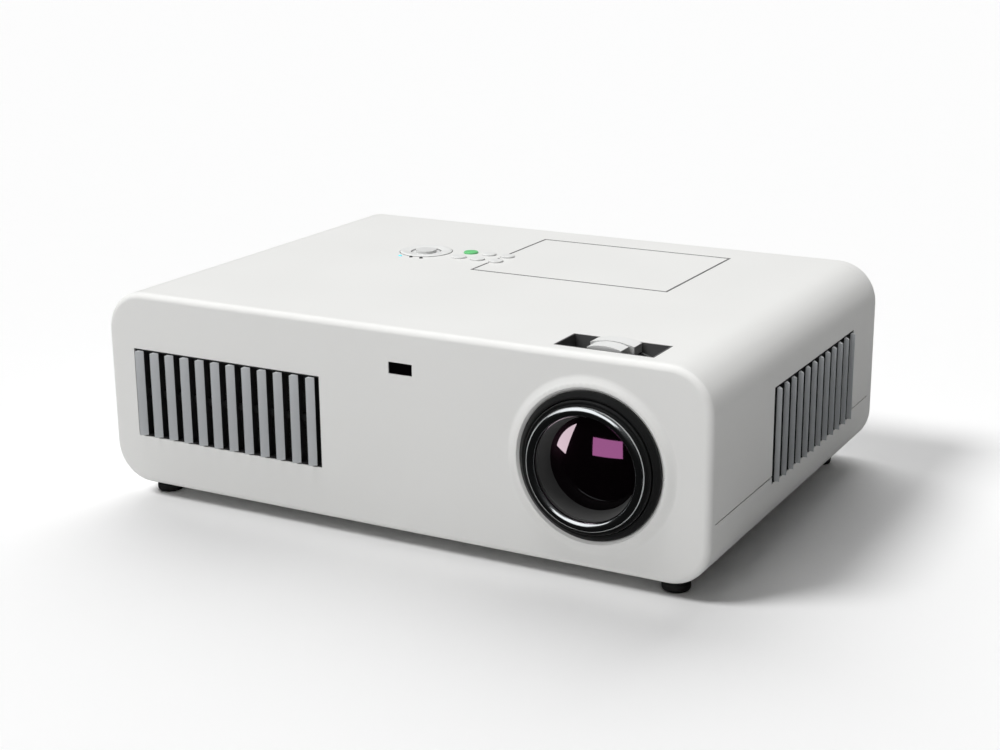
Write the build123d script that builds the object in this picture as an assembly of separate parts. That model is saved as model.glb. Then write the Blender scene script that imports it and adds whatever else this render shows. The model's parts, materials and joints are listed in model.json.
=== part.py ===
from build123d import *
import math
import os

# Portable data projector, in millimetres. While it is drawn, x runs to the right, y to the back
# and z up from the housing's underside, with x and y zero in the middle of the housing.

# Housing
housing_w = 300.0
housing_d = 211.0
housing_h = 91.5
top_corner_r = 19.3
bottom_corner_r = 18.0
edge_r = 3.0
wall = 2.8
seam_z = 26.9
seam_gap = 0.5
front_cover_d = 6.0
rear_cover_d = 9.5
lip_t = 1.4
lip_d = 4.0
lip_gap = 0.15
lip_root = 0.2
tongue_h = 3.0
tongue_root = 5.0

# Grilles of wedge slats on a black carrier
slat_base = 3.2
slat_proud = 2.4
slat_count = 12
slat_top_gap = 0.8
slat_low_gap = 0.1
grille_inset = 14.4
grille_w = 102.5
grille_margin = 2.35
grille_z0 = 23.1
grille_h = 42.0
side_grille_mid = 17.6
side_grille_w = 106.8
side_grille_margin = 2.575
side_grille_z0 = 23.5
side_grille_h = 43.0
carrier_flange = 3.0
carrier_t = 1.5
carrier_rim_t = 0.6
carrier_rim_back = 0.5
carrier_gap = 0.15
rib_w = 2.2
rib_inset = 0.2
cross_bar_w = 3.0
filter_t = 4.0
filter_overlap = 1.0
guard_t = 0.8
guard_slot_w = 3.4
guard_border = 3.0

# Remote-control window
ir_inset = 152.8
ir_w = 11.6
ir_z0 = 71.3
ir_h = 5.2
ir_flange = 1.5
ir_recess = 0.3
ir_gap = 0.1

# Lens, with its axis along y
lens_inset = 52.1
lens_z = 45.1
bezel_r = 31.7
bezel_proud = 0.6
bezel_crest = 2.0
bezel_hole_r = 31.1
bezel_seat_gap = 0.1
bezel_depth = 5.0
collar_r = 38.4
collar_crest_r = 33.6
collar_h = 1.6
collar_bevel = 1.3
collar_gap = 0.2
notch_w = 1.4
lens_boss_t = 2.5
front_barrel_r = 28.4
front_barrel_bore = 25.3
front_barrel_proud = 3.6
ridge_proud = 2.6
trim_r = 26.3
trim_bore = 23.4
trim_h = 1.8
hood_mouth_r = 23.2
hood_r = 19.9
hood_depth = 3.5
hood_step = 1.7
glass_sag = 2.3
front_lens_t = 3.9
lens_seat_t = 1.5
lens_seat_r = 20.5
barrel_slide_gap = 0.3
barrel_wall = 1.8
ring_bearing_gap = 0.05
ring_r = 34.0
ring_stop_gap = 0.4
ring_stop_h = 2.5
ring_stop_t = 2.0
zoom_barrel_r = 25.0
zoom_barrel_bore = 22.5
zoom_barrel_l = 28.4
zoom_guide_l = 3.0
zoom_guide_at = 14.4
zoom_lens_t = 5.0
rear_lens_r = 22.0
lens_dome_r = 19.0
dome_sag = 2.0
back_sag = 0.8
flange_r = 34.0
flange_t = 4.0
flange_depth = 51.5

# Cam pins that turn a ring's swing into a barrel's slide
pin_r = 1.2
pin_count = 3
pin_gap = 0.3
pin_end_gap = 0.7
pin_web = 1.7
focus_swing = 15.0
focus_travel = 1.5
zoom_swing = 12.0
zoom_travel = 2.5

# Lever slot on top
slot_w = 44.4
slot_inset = 7.6
slot_d = 19.2
slot_off = 1.5
slot_wall = 0.8
slot_flange = 2.0
track_r = 43.6
track_t = 1.2
lever_gap = 0.4
lever_t = 7.5
focus_lever_w = 15.1
focus_lever_proud = 1.3
zoom_lever_w = 19.6
zoom_lever_proud = 1.5
lever_offset = 0.7
arm_w = 6.0
arm_t = 5.0

# Controls on top
button_r = 3.55
button_proud = 0.8
button_gap = 0.25
button_pitch_x = 10.3
button_pitch_y = 11.8
button_inset = 112.4
button_back = 79.9
button_flange_r = 4.6
button_flange_t = 1.0
button_stem_r = 1.6
button_edge_r = 0.25
guide_t = 2.0
guide_border = 6.0
nav_inset = 90.4
nav_back = 74.9
nav_r = 13.0
nav_bore = 7.7
nav_gap = 0.45
nav_proud = 0.6
nav_dish = 0.45
nav_rim_w = 1.6
nub_r = 1.0
nub_place_r = 10.4
gimbal_r = 7.6
gimbal_bore = 5.2
gimbal_h = 1.4
gimbal_drop = 5.5
gimbal_pin_r = 0.6
gimbal_pin_gap = 0.08
lug_r0 = 8.3
lug_r1 = 10.3
lug_w = 3.0
enter_r = 5.15
enter_proud = 1.1
enter_skirt_r = 7.2
enter_stem_r = 4.0
light_r = 0.9
light_gap = 0.1
light_proud = 0.45
light_tip_r = 0.4
light_web = 0.3
light_offsets = [-6.2, 0.0, 5.8]
board_t = 1.6
board_border = 17.0
switch_w = 6.0
small_switch_w = 4.0
switch_h = 1.9
switch_play = 0.7

# Lamp cover
cover_inset = 130.7
cover_w = 101.7
cover_back = 100.5
cover_d = 77.9
cover_t = 2.0
cover_gap = 0.35
cover_ledge = 3.0
cover_left_ledge = 9.3
ledge_t = 2.8
ledge_rim = 2.0
cover_rib_t = 1.2
cover_rib_h = 3.0

# Feet
foot_h = 7.0
foot_r = 6.1
foot_edge_r = 1.2
foot_inset = 19.5
front_foot_back = 13.9
foot_play = 0.3
stem_r = 2.5
stem_gap = 0.05
stem_depth = 5.0
stem_up = 18.0
bush_r = 4.5
bush_top = 11.0
foot_boss_r = 7.0
peg_h = 4.0

# Ceiling bracket inserts
insert_x = 100.0
insert_y = 60.0
insert_r = 3.5
insert_bore = 2.0
insert_l = 8.0
insert_boss_r = 5.5
insert_fit = 0.02

# Case screws and their bosses
boss_r = 3.5
screw_r = 1.5
screw_head_r = 2.8
screw_head_h = 2.0
screw_seat = 5.0
screw_l = 20.0
screw_gap = 0.1
screw_inset = 13.0
screw_front_inset = 19.5
screw_rear_inset = 17.5
boss_split_z = 12.0

# Fans
intake_size = 70.0
intake_t = 20.0
intake_gap = 7.2
exhaust_size = 46.0
exhaust_t = 15.0
exhaust_gap = 1.0
cradle_w = 6.0
fan_wall = 1.8
fan_tip_gap = 0.8
fan_corner_r = 3.0
fan_hole_r = 1.8
fan_hole_inset = 4.2
fan_plate_t = 2.5
strut_w = 3.0
blade_t = 1.1
blade_count = 7
shaft_r = 2.0
shaft_gap = 0.05

# Light path
arm_x = 33.0
prism_depth = 77.5
path_gap = 32.0
path_half = 13.0
prism_size = 26.0
panel_gap = 3.0
panel_t = 2.0
panel_over = 4.0
mirror_l = 30.0
mirror_h = 32.0
mirror_t = 1.6
mirror_room = 2.0
fold_room = 30.0
relay_t = 3.0
relay_l = 24.0
relay_over = 6.0
relay_room = 5.5
tray_t = 3.0
tray_drop = 16.0
tray_wall_t = 4.0
tray_end = 7.0
beam_r = 21.0
leg_r = 4.0
channel_h = 3.0
channel_w = 2.0
channel_gap = 0.1

# Lamp
lamp_inset = 19.3
lamp_l = 78.0
lamp_w = 54.0
lamp_gap = 1.0
lamp_top = 82.0
lamp_plate_t = 3.0
rail_w = 4.0
handle_at = 30.0
reflector_r = 25.0
reflector_l = 52.0
reflector_t = 2.0
neck_r = 8.0
bulb_r = 4.5
tube_r = 1.8
vent_pitch = 7.0
vent_w = 3.0

# Boards
power_board_inset = 27.0
power_board_w = 68.0
power_board_front = 49.5
power_board_rear = 21.5
power_board_z = 10.0
transformer_h = 26.0
capacitor_r = 9.0
capacitor_h = 30.0
choke_r = 10.0
choke_h = 14.0
sink_base_t = 4.0
sink_h = 26.0
ballast_gap = 14.0
ballast_front = 34.5
ballast_d = 54.0
ballast_lens_gap = 56.9
coil_h = 22.0
main_board_inset = 19.0
main_board_w = 81.6
main_board_rear = 11.5
main_board_d = 74.0
main_board_z = 56.0
chip_t = 2.5
fin_h = 12.0
fin_t = 2.0
board_post_r = 2.2
post_inset = 3.2

# Rear
bay_inset = 20.0
bay_w = 86.0
bay_z0 = 50.0
bay_h = 30.0
bay_d = 8.0
bay_wall = 2.0
socket_gap = 0.2
socket_rise = 7.0
socket_block_d = 11.0
socket_skin = 1.5
socket_h = 13.0
d_shell_w = 16.9
d_shell_h = 8.3
data_w = 12.0
data_h = 11.0
din_d = 9.6
coax_d = 9.0
jack_d = 7.0
contact_pitch = 2.3
contact_r = 0.5
socket_steps = [0.19, 0.47, 0.63, 0.77, 0.91]
inlet_inset = 50.0
inlet_z = 24.0
inlet_w = 27.0
inlet_h = 19.8
inlet_d = 22.0
inlet_flange = 3.0
inlet_plate_t = 1.5
inlet_wall = 1.5
blade_pitch = 7.0
blade_rise = 2.0
lock_w = 7.0
lock_h = 3.0
vent_rows = 6
rear_vent_inset = 12.0
rear_vent_w = 42.0
rear_vent_pitch = 7.5
rear_vent_h = 3.2
speaker_inset = 84.0
speaker_r = 18.0
speaker_t = 12.0
speaker_slot_w = 2.0
speaker_pitch = 5.0

# Places that follow from the housing
left_x = -housing_w / 2
right_x = housing_w / 2
front_y = -housing_d / 2
rear_y = housing_d / 2
front_joint_y = front_y + front_cover_d
rear_joint_y = rear_y - rear_cover_d
ceiling_z = housing_h - wall
lens_x = right_x - lens_inset
grille_x0 = left_x + grille_inset
slat_pitch = (grille_w - slat_base - 2 * grille_margin) / (slat_count - 1)
side_grille_y0 = side_grille_mid - side_grille_w / 2
side_slat_pitch = (side_grille_w - slat_base - 2 * side_grille_margin) / (slat_count - 1)
ir_x0 = left_x + ir_inset
slot_x0 = lens_x + slot_off - slot_w / 2
slot_y0 = front_y + slot_inset
button_x = left_x + button_inset
button_y = rear_y - button_back
nav_x = left_x + nav_inset
nav_y = rear_y - nav_back
light_y = nav_y - nav_r - nav_gap - light_web - light_gap - light_r
light_xs = [nav_x + offset for offset in light_offsets]
cover_x0 = left_x + cover_inset
cover_y0 = rear_y - cover_back
foot_x = right_x - foot_inset
front_foot_y = front_y + front_foot_back
rear_foot_y = rear_y - foot_inset
screw_places = [
    (left_x + screw_inset, front_y + 5 * screw_inset),
    (left_x + screw_inset, rear_y - 5 * screw_inset + boss_r),
    (ir_x0 + ir_w / 2, front_y + screw_front_inset),
    (cover_x0 + cover_ledge + boss_r + lip_d, rear_y - screw_rear_inset),
    (right_x - screw_inset, front_y + 3.2 * screw_inset),
    (right_x - 2.7 * screw_inset, rear_y - screw_rear_inset),
]
board_z = ceiling_z - guide_t - button_flange_t - 0.7 - switch_play - switch_h - board_t
switch_z = board_z + board_t + switch_h
pivot_z = housing_h - gimbal_drop

# Places that follow from the lens
trim_proud = front_barrel_proud + trim_h
bezel_back_y = front_y + bezel_depth
zoom_y1 = slot_y0 + slot_d - slot_wall - lever_gap
zoom_y0 = zoom_y1 - lever_t
focus_y1 = zoom_y0 - lever_gap
focus_y0 = focus_y1 - lever_t
fixed_bore = front_barrel_r + barrel_slide_gap
fixed_r = fixed_bore + barrel_wall
focus_pin_y = (focus_y0 + focus_y1) / 2
zoom_pin_y = (zoom_y0 + zoom_y1) / 2
front_barrel_end = focus_pin_y + focus_travel + pin_r + pin_gap + pin_web
zoom_barrel_front = zoom_pin_y - zoom_travel - pin_r - 2 * pin_gap - 1.0
zoom_barrel_end = zoom_barrel_front + zoom_barrel_l
hood_end_y = front_y + hood_depth
flange_y = front_y + flange_depth
prism_y = front_y + prism_depth
path_y = prism_y + path_gap
tray_z = lens_z - tray_drop

# Places that follow from the light path
lamp_x0 = cover_x0 + lamp_inset
lamp_y = path_y + path_half + lamp_gap + lamp_w / 2
fold_x = lamp_x0 - fold_room
tray_x0 = fold_x - mirror_l / 2 - mirror_room
tray_x1 = right_x - tray_end
fan_z = lens_z
intake_x = grille_x0 + grille_w / 2
intake_y = front_y + wall + carrier_t + filter_t + intake_gap + intake_t / 2
exhaust_x = right_x - wall - carrier_t - guard_t - exhaust_gap - exhaust_t / 2
exhaust_y = path_y + path_half + 9 * exhaust_gap + exhaust_size / 2

# Places of the boards and of the rear openings
power_x0 = left_x + power_board_inset
power_x1 = power_x0 + power_board_w
power_y0 = front_y + power_board_front
power_y1 = rear_y - power_board_rear
ballast_x0 = power_x1 + ballast_gap
ballast_x1 = lens_x - ballast_lens_gap
ballast_y0 = front_y + ballast_front
ballast_y1 = ballast_y0 + ballast_d
main_x0 = left_x + main_board_inset
main_x1 = main_x0 + main_board_w
main_y1 = rear_y - main_board_rear
main_y0 = main_y1 - main_board_d
bay_x0 = left_x + bay_inset
bay_face_y = rear_y - bay_d - bay_wall
socket_z = main_board_z + board_t + socket_rise
socket_xs = [bay_x0 + step * bay_w for step in socket_steps]
inlet_x = left_x + inlet_inset
speaker_x = right_x - speaker_inset

# The finished part stands on its feet, with the middle of its outer box over the origin
placed = Pos(-slat_proud / 2, trim_proud / 2, foot_h)

os.makedirs("parts", exist_ok=True)



def save(name, *solids):
    """One file for a piece, or for a group of like pieces."""
    moved = [placed * solid for solid in solids]
    piece = moved[0] if len(moved) == 1 else Compound(moved)
    export_step(piece, "parts/" + name + ".step")


def block(x0, x1, y0, y1, z0, z1):
    """Box between two corners."""
    return Pos((x0 + x1) / 2, (y0 + y1) / 2, (z0 + z1) / 2) * Box(x1 - x0, y1 - y0, z1 - z0)


def post(x, y, z0, z1, r):
    """Upright round post."""
    return Pos(x, y, (z0 + z1) / 2) * Cylinder(r, z1 - z0)


def rod_y(x, z, y0, y1, r):
    """Round rod that runs front to back."""
    return Pos(x, (y0 + y1) / 2, z) * Rot(90, 0, 0) * Cylinder(r, y1 - y0)


def rod_x(y, z, x0, x1, r):
    """Round rod that runs left to right."""
    return Pos((x0 + x1) / 2, y, z) * Rot(0, 90, 0) * Cylinder(r, x1 - x0)


def front_prism(sketch, y0, y1):
    """Outline drawn in x and z, carried from y0 back to y1."""
    plane = Plane(origin=(0, y1, 0), x_dir=(1, 0, 0), z_dir=(0, -1, 0))
    return extrude(plane * sketch, amount=y1 - y0)


def turned(*edges):
    """Solid of revolution about the lens axis, from edges in radius and y."""
    plane = Plane(origin=(lens_x, 0, lens_z), x_dir=(1, 0, 0), z_dir=(0, 0, 1))
    return revolve(plane * make_face(edges), axis=Axis((lens_x, 0, lens_z), (0, 1, 0)))


def ring_of(*points):
    """Solid of revolution about the lens axis, from corners in radius and y."""
    return turned(*Polyline(*points, close=True).edges())


def housing_outline(inset):
    """Rounded front outline of the housing, drawn in by a wall."""
    outline = Pos(0, housing_h / 2) * Rectangle(housing_w - 2 * inset, housing_h - 2 * inset)
    outline = fillet(outline.vertices().group_by(Axis.Y)[-1], top_corner_r - inset)
    return fillet(outline.vertices().group_by(Axis.Y)[0], bottom_corner_r - inset)


def housing_body():
    """Whole outer form, with softened front and rear edges."""
    body = front_prism(housing_outline(0), front_y, rear_y)
    body = fillet(body.faces().sort_by(Axis.Y)[0].edges(), edge_r)
    return fillet(body.faces().sort_by(Axis.Y)[-1].edges(), edge_r)


outer_form = housing_body()
shell = outer_form - front_prism(housing_outline(wall), front_y + wall, rear_y - wall)


def lip(y0, y_joint, y1):
    """Locating lip just inside the wall: joined to its own cover as far as the joint."""
    inner = housing_outline(wall + lip_gap + lip_t)
    joined = front_prism(housing_outline(wall - lip_root) - inner, y0, y_joint)
    free = front_prism(housing_outline(wall + lip_gap) - inner, y_joint, y1)
    return joined + free


def lens_collar():
    """Raised collar round the lens: bevelled inside, softly faired outside."""
    inner_r = bezel_r + collar_gap
    bevel_r = inner_r + collar_bevel
    crest_y = front_y - collar_h
    reach = (collar_r - collar_crest_r) * 0.45
    fairing = Bezier((collar_crest_r, crest_y), (collar_crest_r + reach, crest_y),
                     (collar_r - reach, front_y), (collar_r, front_y))
    return turned(
        Line((inner_r, front_y + 0.5), (inner_r, front_y - 0.2)),
        Line((inner_r, front_y - 0.2), (bevel_r, crest_y)),
        Line((bevel_r, crest_y), (collar_crest_r, crest_y)),
        fairing,
        Line((collar_r, front_y), (collar_r, front_y + 0.5)),
        Line((collar_r, front_y + 0.5), (inner_r, front_y + 0.5)),
    )


def slot_zone(y_margin):
    """Space round the lever slot, as deep as its track."""
    border = 2 * slot_flange
    return block(slot_x0 - border, slot_x0 + slot_w + border, slot_y0 - y_margin, slot_y0 + slot_d + border,
                 lens_z + front_barrel_r, ceiling_z - 0.01)


def front_cover():
    """Front panel, with the lens hole, its collar, the grille opening and the window opening."""
    cover = shell & block(left_x, right_x, front_y, front_joint_y, -1, housing_h + 1)
    rim = lip(front_y + wall - 0.1, front_joint_y, front_joint_y + lip_d)
    rim -= slot_zone(front_cover_d)
    for side in (-1, 1):
        rim -= post(side * foot_x, front_foot_y, 0, bush_top, foot_boss_r + 0.5)
    cover += rim
    cover += lens_collar()
    boss_bore = fixed_r + ring_stop_t
    boss_r0 = boss_bore + lens_boss_t
    boss_end = focus_y0 - ring_stop_gap
    cover += ring_of((boss_bore, front_y + 1), (boss_r0, front_y + 1), (boss_r0, boss_end),
                     (boss_bore, boss_end))
    cover -= rod_y(lens_x, lens_z, front_y - bezel_depth, front_y + wall + 0.1, bezel_hole_r)
    cover -= block(grille_x0, grille_x0 + grille_w, front_y - 1, front_joint_y,
                   grille_z0, grille_z0 + grille_h)
    cover -= block(ir_x0, ir_x0 + ir_w, front_y - 1, front_joint_y, ir_z0, ir_z0 + ir_h)
    notch_x = lens_x + bezel_r + collar_gap
    return cover - block(notch_x - 0.5, notch_x + collar_bevel, front_y - collar_h - 1, front_y - 0.1,
                         lens_z - notch_w / 2, lens_z + notch_w / 2)


def side_grille_cut():
    """Opening of the side grille through the right wall."""
    return block(right_x - wall - 1, right_x + 1, side_grille_y0, side_grille_y0 + side_grille_w,
                 side_grille_z0, side_grille_z0 + side_grille_h)


def cover_hole():
    """Through opening under the lamp cover, inside its ledge."""
    return (cover_x0 + cover_left_ledge, cover_x0 + cover_w - cover_ledge,
            cover_y0 + cover_ledge, cover_y0 + cover_d - cover_ledge)


def button_centres():
    """Two rows of three buttons, front row first."""
    return [(button_x + column * button_pitch_x, button_y + row * button_pitch_y)
            for row in range(2) for column in range(3)]


def board_posts():
    """Places of the posts that hold the control board."""
    side = board_border - board_post_r
    return [(x, y) for x in (nav_x - side, cover_x0 + cover_left_ledge - cover_ledge)
            for y in (nav_y - side - board_post_r, nav_y + side)]


def upper_case():
    """Upper half of the middle housing, with everything that opens in the top."""
    case = shell & block(left_x, right_x, front_joint_y, rear_joint_y, seam_z + seam_gap / 2, housing_h + 1)
    x0, x1, y0, y1 = cover_hole()
    ledge_z = housing_h - cover_t
    case += block(cover_x0 - ledge_rim, cover_x0 + cover_w + ledge_rim,
                  cover_y0 - ledge_rim, cover_y0 + cover_d + ledge_rim, ledge_z - ledge_t, ledge_z)
    case += block(button_x - guide_border, cover_x0, button_y - guide_border,
                  button_y + button_pitch_y + guide_border, ceiling_z - guide_t, ceiling_z + 0.1)
    case -= block(cover_x0, cover_x0 + cover_w, cover_y0, cover_y0 + cover_d, ledge_z, housing_h + 1)
    case -= block(x0, x1, y0, y1, ledge_z - 2 * ledge_t, housing_h)
    for x, y in board_posts():
        case += post(x, y, board_z + board_t, ceiling_z - (guide_t if x > button_x else -0.1), board_post_r)
    for x, y in screw_places:
        case += post(x, y, boss_split_z, ceiling_z + 0.1, boss_r)
        case -= post(x, y, boss_split_z - 1, screw_l + screw_r, screw_r + screw_gap)
    for x, y in button_centres():
        case -= post(x, y, ceiling_z - guide_t - 5, housing_h + 1, button_r + button_gap)
    case -= post(nav_x, nav_y, ceiling_z - 1, housing_h + 1, nav_r + nav_gap)
    for x in light_xs:
        case -= post(x, light_y, ceiling_z - 1, housing_h + 1, light_r + light_gap)
    case -= block(slot_x0, slot_x0 + slot_w, slot_y0, slot_y0 + slot_d, ceiling_z - 1, housing_h + 1)
    return case - side_grille_cut()


def tongue(side, y0, y1):
    """Strip on the lower case that stands up inside the upper case's wall."""
    inner = right_x - wall
    face = inner - lip_gap
    root = block(face - lip_t, inner + lip_root, y0, y1, seam_z - tongue_root, seam_z - seam_gap / 2)
    free = block(face - lip_t, face, y0, y1, seam_z - 1, seam_z + tongue_h)
    strip = root + free
    return strip if side > 0 else mirror(strip, about=Plane.YZ)


def lower_case():
    """Lower half of the middle housing, with bosses, cradles, posts and vents."""
    case = shell & block(left_x, right_x, front_joint_y, rear_joint_y, -1, seam_z - seam_gap / 2)
    tongue_y0 = front_joint_y + lip_d + 1
    tongue_y1 = rear_joint_y - lip_d - 1
    case += tongue(-1, tongue_y0, tongue_y1)
    case += tongue(1, tongue_y0, side_grille_y0 - carrier_flange - 1)
    case += tongue(1, side_grille_y0 + side_grille_w + carrier_flange + 1, tongue_y1)
    floor = wall - 0.1
    for x, y in screw_places:
        case += post(x, y, floor, boss_split_z, boss_r + 1)
    for x in (-foot_x, foot_x):
        case += post(x, front_foot_y, floor, bush_top, foot_boss_r)
        case += post(x, rear_foot_y, floor, peg_h + wall, 2 * stem_r)
    for x, y in insert_places():
        case += post(x, y, floor, insert_l + insert_bore, insert_boss_r)
    for x, y in power_posts() + ballast_posts():
        case += post(x, y, floor, power_board_z, board_post_r)
    for x, y in main_posts():
        case += post(x, y, floor, main_board_z, board_post_r)
    case += fan_cradles(floor)
    for step in range(-3, 4):
        y = lamp_y + step * vent_pitch
        case -= block(lamp_x0 + lamp_l * 0.2, lamp_x0 + lamp_l * 0.8, y - vent_w / 2, y + vent_w / 2,
                      -1, wall + 1)
    return bored(case) - side_grille_cut()


def bored(case):
    """Cut every screw, foot and insert bore from below, once all that stands on the floor is there."""
    for x, y in screw_places:
        case -= post(x, y, -1, boss_split_z + 1, screw_r + screw_gap)
        case -= post(x, y, -1, screw_seat, screw_head_r + screw_gap)
    for x in (-foot_x, foot_x):
        case -= post(x, front_foot_y, -1, bush_top + 1, bush_r)
        case -= post(x, rear_foot_y, -1, peg_h, stem_r)
    for x, y in insert_places():
        case -= post(x, y, -1, insert_l, insert_r)
    return case


def insert_places():
    """Places of the four inserts for a ceiling bracket."""
    return [(x, y) for x in (-insert_x, insert_x) for y in (-insert_y, insert_y)]


def fan_cradles(floor):
    """Ribs that each fan frame stands on."""
    half = cradle_w / 2
    depth = intake_t / 2 + 1
    ribs = []
    for x in (intake_x - intake_size * 0.36, intake_x + intake_size * 0.36):
        ribs.append(block(x - half, x + half, intake_y - depth, intake_y + depth,
                          floor, fan_z - intake_size / 2))
    depth = exhaust_t / 2
    for y in (exhaust_y - exhaust_size * 0.35, exhaust_y + exhaust_size * 0.35):
        rib = block(exhaust_x - depth, exhaust_x + depth, y - half, y + half,
                    0.5, fan_z - exhaust_size / 2)
        ribs.append(rib & outer_form)
    return ribs


def power_posts():
    """Posts under the power board."""
    inset = 2 * post_inset
    return [(x, y) for x in (power_x0 + post_inset, power_x1 - post_inset)
            for y in (power_y0 + inset, power_y1 - inset)]


def ballast_posts():
    """Posts under the ballast board."""
    return [(x, y) for x in (ballast_x0 + post_inset, ballast_x1 - post_inset)
            for y in (ballast_y0 + post_inset, ballast_y1 - post_inset)]


def main_posts():
    """Tall posts under the main board, beside the power board."""
    return [(x, y) for x in (main_x0 + post_inset, main_x1 - post_inset)
            for y in (main_y0 + 2 * post_inset, main_y1 - bay_d - 2 * post_inset)]


def rear_cover():
    """Rear panel, with its connector bay, inlet opening, vents and lock slot."""
    cover = shell & block(left_x, right_x, rear_joint_y, rear_y, -1, housing_h + 1)
    cover += mirror(lip(-(rear_y - wall + 0.1), -rear_joint_y, -(rear_joint_y - lip_d)), about=Plane.XZ)
    bay_x1 = bay_x0 + bay_w
    bay_z1 = bay_z0 + bay_h
    bay_y = rear_y - bay_d
    cover += block(bay_x0 - bay_wall, bay_x1 + bay_wall, bay_y - bay_wall, rear_y - wall + 0.1,
                   bay_z0 - bay_wall, bay_z1 + bay_wall)
    cover -= block(bay_x0, bay_x1, bay_y, rear_y + 1, bay_z0, bay_z1)
    for x, w, h in socket_holes():
        cover -= block(x - w / 2, x + w / 2, bay_y - bay_wall - 1, bay_y + 1,
                       socket_z - h / 2, socket_z + h / 2)
    for border, depth in ((socket_gap, wall + 1), (inlet_flange, inlet_plate_t)):
        w = inlet_w / 2 + border
        h = inlet_h / 2 + border
        cover -= block(inlet_x - w, inlet_x + w, rear_y - depth, rear_y + 1, inlet_z - h, inlet_z + h)
    vent_x1 = right_x - rear_vent_inset
    for row in range(vent_rows):
        z = lens_z + (row - (vent_rows - 1) / 2) * rear_vent_pitch
        cover -= block(vent_x1 - rear_vent_w, vent_x1, rear_y - wall - 1, rear_y + 1,
                       z - rear_vent_h / 2, z + rear_vent_h / 2)
    half = speaker_slot_w / 2
    for step in range(-3, 4):
        x = speaker_x + step * speaker_pitch
        reach = math.sqrt((speaker_r - 1) ** 2 - (x - speaker_x) ** 2)
        cover -= block(x - half, x + half, rear_y - wall - 1, rear_y + 1, lens_z - reach, lens_z + reach)
    lock_x = inlet_x + inlet_w + lock_w
    return cover - block(lock_x - lock_w / 2, lock_x + lock_w / 2, rear_y - wall - 1, rear_y + 1,
                         inlet_z - lock_h / 2, inlet_z + lock_h / 2)


def socket_holes():
    """Openings in the bay's back wall: middle, width and height of each."""
    sizes = [(d_shell_w + socket_skin, d_shell_h + 2.1), (data_w + 0.6, data_h + 0.6)]
    sizes += [(size + 0.3, size + 0.3) for size in (din_d, coax_d, jack_d)]
    return [(x, w, h) for x, (w, h) in zip(socket_xs, sizes)]


def wedge_slats(plane, u0, v0, height, pitch, margin):
    """Row of wedge slats on a face: steep towards the lower end, sloping back to the face."""
    slats = []
    for index in range(slat_count):
        u = u0 + margin + index * pitch
        base_plane = plane * Plane(origin=(u, v0 + slat_low_gap, 0), x_dir=(1, 0, 0), z_dir=(0, 1, 0))
        wedge = make_face(Polyline((0, 0), (0, -slat_proud), (slat_base, 0), close=True))
        slats.append(extrude(base_plane * wedge, amount=height - slat_low_gap - slat_top_gap))
    return slats


def slat_carrier(plane, u0, v0, width, height, pitch, margin):
    """Black frame behind a grille opening, with a rib under each slat and one cross bar."""
    u1 = u0 + width
    v1 = v0 + height
    back = -wall - carrier_t
    g = carrier_gap
    flange = carrier_flange
    frame = block(u0 - flange, u1 + flange, v0 - flange, v1 + flange, back, -wall)
    frame += block(u0 + g, u1 - g, v0 + g, v1 - g, back, -carrier_rim_back)
    t = g + carrier_rim_t
    frame -= block(u0 + t, u1 - t, v0 + t, v1 - t, back - 1, 1)
    for index in range(slat_count):
        u = u0 + margin + index * pitch + rib_inset
        frame += block(u, u + rib_w, v0 + g + 0.1, v1 - g - 0.1, back, 0)
    middle = (v0 + v1) / 2
    half = cross_bar_w / 2
    frame += block(u0 + g + 0.1, u1 - g - 0.1, middle - half, middle + half, back, back + carrier_t)
    return plane * frame


front_plane = Plane(origin=(0, front_y, 0), x_dir=(1, 0, 0), z_dir=(0, -1, 0))
side_plane = Plane(origin=(right_x, 0, 0), x_dir=(0, 1, 0), z_dir=(1, 0, 0))


def dust_filter():
    """Foam pad behind the front carrier."""
    back = -wall - carrier_t
    over = filter_overlap
    return front_plane * block(grille_x0 - over, grille_x0 + grille_w + over,
                               grille_z0 - over, grille_z0 + grille_h + over, back - filter_t, back)


def exhaust_guard():
    """Slotted plate behind the side carrier."""
    back = -wall - carrier_t
    over = filter_overlap
    v0 = side_grille_z0
    v1 = side_grille_z0 + side_grille_h
    plate = block(side_grille_y0 - over, side_grille_y0 + side_grille_w + over, v0 - over, v1 + over,
                  back - guard_t, back)
    first = side_grille_y0 + side_grille_margin + (side_slat_pitch + slat_base - guard_slot_w) / 2
    for index in range(slat_count - 1):
        u = first + index * side_slat_pitch
        plate -= block(u, u + guard_slot_w, v0 + guard_border, v1 - guard_border,
                       back - 2 * guard_t, back + 1)
    return side_plane * plate


def ir_window():
    """Dark window with a flange behind the wall."""
    g = ir_gap
    f = ir_flange
    back = front_y + wall
    glass = block(ir_x0 + g, ir_x0 + ir_w - g, front_y + ir_recess, back + 1, ir_z0 + g, ir_z0 + ir_h - g)
    return glass + block(ir_x0 - f, ir_x0 + ir_w + f, back, back + 1, ir_z0 - f, ir_z0 + ir_h + f)


def lens_bezel():
    """Fixed black ring: a shallow cone between the collar and the moving barrel."""
    bore = front_barrel_r + barrel_slide_gap + 0.05
    neck = bezel_hole_r - bezel_seat_gap
    crest_y = front_y - bezel_crest
    return ring_of((bore, crest_y), (bore + 0.4, crest_y - 0.1), (bezel_r, front_y - bezel_proud),
                   (bezel_r, front_y), (neck, front_y), (neck, bezel_back_y), (bore, bezel_back_y))


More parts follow.
